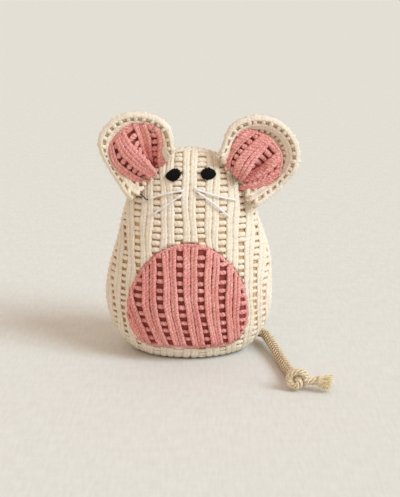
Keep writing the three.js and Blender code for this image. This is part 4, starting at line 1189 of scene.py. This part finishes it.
# the cord's bend at its seat: strands wound round the pin, the same from every side, by lean and heading
knobForm = {"core": 0.8, "reach": 0.76, "strand": 0.24, "winds": (
    (0.2, 0), (1, 0.5), (1, 1.55), (1, 2.6), (1.5, 1), (1.5, 2.1), (0.6, 2), (0.6, 0.9))}


def knobParts(centre, radius):
    angle = np.linspace(0, 2 * np.pi, 29)
    tall = np.linspace(-0.5, 0.5, 9)[:, None] * np.pi
    turn = angle[None, :-1]
    core = np.stack([np.cos(tall) * np.cos(turn), np.cos(tall) * np.sin(turn),
                     np.sin(tall) * np.ones_like(turn)], -1)
    parts = [gridPart(centre + knobForm["core"] * radius * core, wrap=True, material=1)]
    for lean, heading in knobForm["winds"]:
        pole = np.array((np.sin(lean) * np.cos(heading), np.sin(lean) * np.sin(heading), np.cos(lean)))
        a = unit(np.cross(pole, (0.3, 0.4, 1)))
        ring = np.cos(angle)[:, None] * a + np.sin(angle)[:, None] * np.cross(pole, a)
        line = centre + knobForm["reach"] * radius * ring
        parts.append(tubePart(line[None], ring[None], knobForm["strand"] * radius, 6))
    return parts


def knotParts(centre):
    loops = np.array(knotForm["loops"])
    loops = splineThrough(np.linspace(0, 1, len(loops)), loops, np.linspace(0, 1, 160))
    line = centre + knotForm["size"] * loops[:, [0, 2, 1]] * np.array((1, -1, 1))
    return cordParts(line, knotForm["cordRadius"], twist, knotForm["seed"])


# a short twisted stub, then single fibres that spread, curl and lie down on the floor
def brushParts(base):
    rng = np.random.default_rng(brushForm["seed"])
    count, up = brushForm["fibres"], np.array((0, 0, 1))
    heading = unit(np.array(brushForm["heading"]))
    ahead = heading * brushForm["length"]
    stub = base + np.linspace(*brushForm["stub"], 16)[:, None] * ahead
    parts = cordParts(stub, tailForm["radius"] * brushForm["stubRadius"], twist, brushForm["stubSeed"])
    start, share = brushForm["start"], np.linspace(0, 1, 7)[:, None]
    near, more = brushForm["spread"]
    for turn, out, reach in zip(rng.uniform(0, 2 * np.pi, count), np.sqrt(rng.uniform(0, 1, count)),
                                rng.uniform(*brushForm["reach"], count)):
        across = np.cos(turn) * np.cross(heading, up) + np.sin(turn) * up
        curl = rng.normal(0, brushForm["curl"], 3) * share ** 2
        spread = across * out * (near + more * share ** 2)
        fibre = base + ahead * (start + (reach - start) * share) + spread + curl
        fibre[:, 2] = np.maximum(fibre[:, 2], brushForm["floorGap"])
        parts.append(linePart(fibre, np.linspace(*brushForm["thick"], 7), 5, (0, 0, 1), material=2))
    return parts


def addTail():
    pin, radius = np.array(tailForm["pin"]), tailForm["radius"]
    route = pin + np.array(tailForm["route"])
    line = splineThrough(np.linspace(0, 1, len(route)), route, np.linspace(0, 1, 150))
    knotCentre, brushBase = (np.array((*route[-1][:2], form["height"])) for form in (knotForm, brushForm))
    path = line[np.linalg.norm(line - knotCentre, axis=-1) > knotForm["reach"]]
    start = np.array(tailForm["rootStart"])
    rootLine = start + np.linspace(0, 1, 30)[:, None] * (pin - start)
    rootParts = cordParts(rootLine, radius, braid, tailForm["rootSeed"]) + knobParts(pin, radius)
    look = [cottonCord, cordCore, cordFibre]
    made = {name: addPiece(name, parts, materials, [node], body, filled=False)
            for name, parts, materials, node, body in (
            ("tailCord", cordParts(path, radius, braid, tailForm["seed"]), look, "tail_cord", "tail"),
            ("tailRootCord", rootParts, look, "tail_root", "body"),
            ("tailKnot", knotParts(knotCentre), [cottonCord, knotShadeCore, cordFibre], "tail_knot", "tail"),
            ("tailFray", brushParts(brushBase), look, "tail_fray", "tail"))}


addTail()

# inner layers stay as packed and get their cloth
innerLayers = {"stuffing_front": fibreFilling, "stuffing_back": fibreFilling, "sachet_front": muslin,
               "sachet_back": muslin, "catnip_herb": driedHerb}
for node, material in innerLayers.items():
    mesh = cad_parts[node].data
    mesh.materials.clear()
    mesh.materials.append(material)
print("inner layers dressed")

# stage: pale linen floor, one soft key light from the right and an even pale surround
stageForm = {"floor": "#E4E3E1", "floorTone": "#DCDAD8", "thread": (1.3, 9), "floorHalf": 6000,
             "floorDrop": 0.05, "key": 2.3, "keyColour": "#E1F7FF", "keyTurn": 62, "keyRise": 37,
             "keySoft": 30, "surround": 0.71, "surroundColour": "#FFECD8"}


# plain linen: long uneven threads, drawn wider than real so that they show
def linenMaterial():
    material, tree, shader = newMaterial("palePlainLinen", {"Roughness": 0.95, "Specular IOR Level": 0.2})
    place = addNode(tree, "TexCoord", {}, {}).outputs["Object"]
    wide, long = stageForm["thread"]
    threads = []
    for size in ((wide, long, 1), (long, wide * 3, 1)):
        spot = addNode(tree, "VectorMath", {"operation": "DIVIDE"}, {0: place, 1: [s * mm for s in size]})
        uneven = addNode(tree, "TexNoise", {}, {"Vector": spot.outputs[0], "Scale": 1.0, "Detail": 2.0})
        threads.append(uneven.outputs[0])
    cross = addNode(tree, "Math", {"operation": "MULTIPLY_ADD"}, {0: threads[1], 1: 0.5, 2: threads[0]})
    step = addNode(tree, "MapRange", {}, {"Value": cross.outputs[0], "From Min": 0.5, "From Max": 1.0})
    pale, dark = hexColor(stageForm["floor"]), hexColor(stageForm["floorTone"])
    colour = addNode(tree, "Mix", {"data_type": "RGBA"}, {0: step.outputs[0], 6: pale, 7: dark})
    tree.links.new(colour.outputs[2], shader.inputs["Base Color"])
    return material


def addStage():
    half, drop = stageForm["floorHalf"], stageForm["floorDrop"]
    floor = gridPart(np.array([[(x * half, y * half, -drop) for x in (-1, 1)] for y in (-1, 1)], float))
    buildPiece("floor", [floor], [linenMaterial()], filled=False)
    data = bpy.data.lights.new("keyLight", "SUN")
    data.energy = stageForm["key"]
    data.color = hexColor(stageForm["keyColour"])[:3]
    data.angle = stageForm["keySoft"] * degree
    key = bpy.data.objects.new("keyLight", data)
    turn, rise = stageForm["keyTurn"] * degree, stageForm["keyRise"] * degree
    toward = Vector((np.sin(turn) * np.cos(rise), -np.cos(turn) * np.cos(rise), np.sin(rise)))
    key.rotation_euler = toward.to_track_quat("Z", "Y").to_euler()
    key.location = toward
    scene.collection.objects.link(key)
    world = bpy.data.worlds.new("surround")
    scene.world = world
    world.use_nodes = True
    sky = world.node_tree.nodes["Background"]
    sky.inputs["Color"].default_value = hexColor(stageForm["surroundColour"])
    sky.inputs["Strength"].default_value = stageForm["surround"]
    scene.view_settings.view_transform = "Standard"


addStage()
print("stage set")
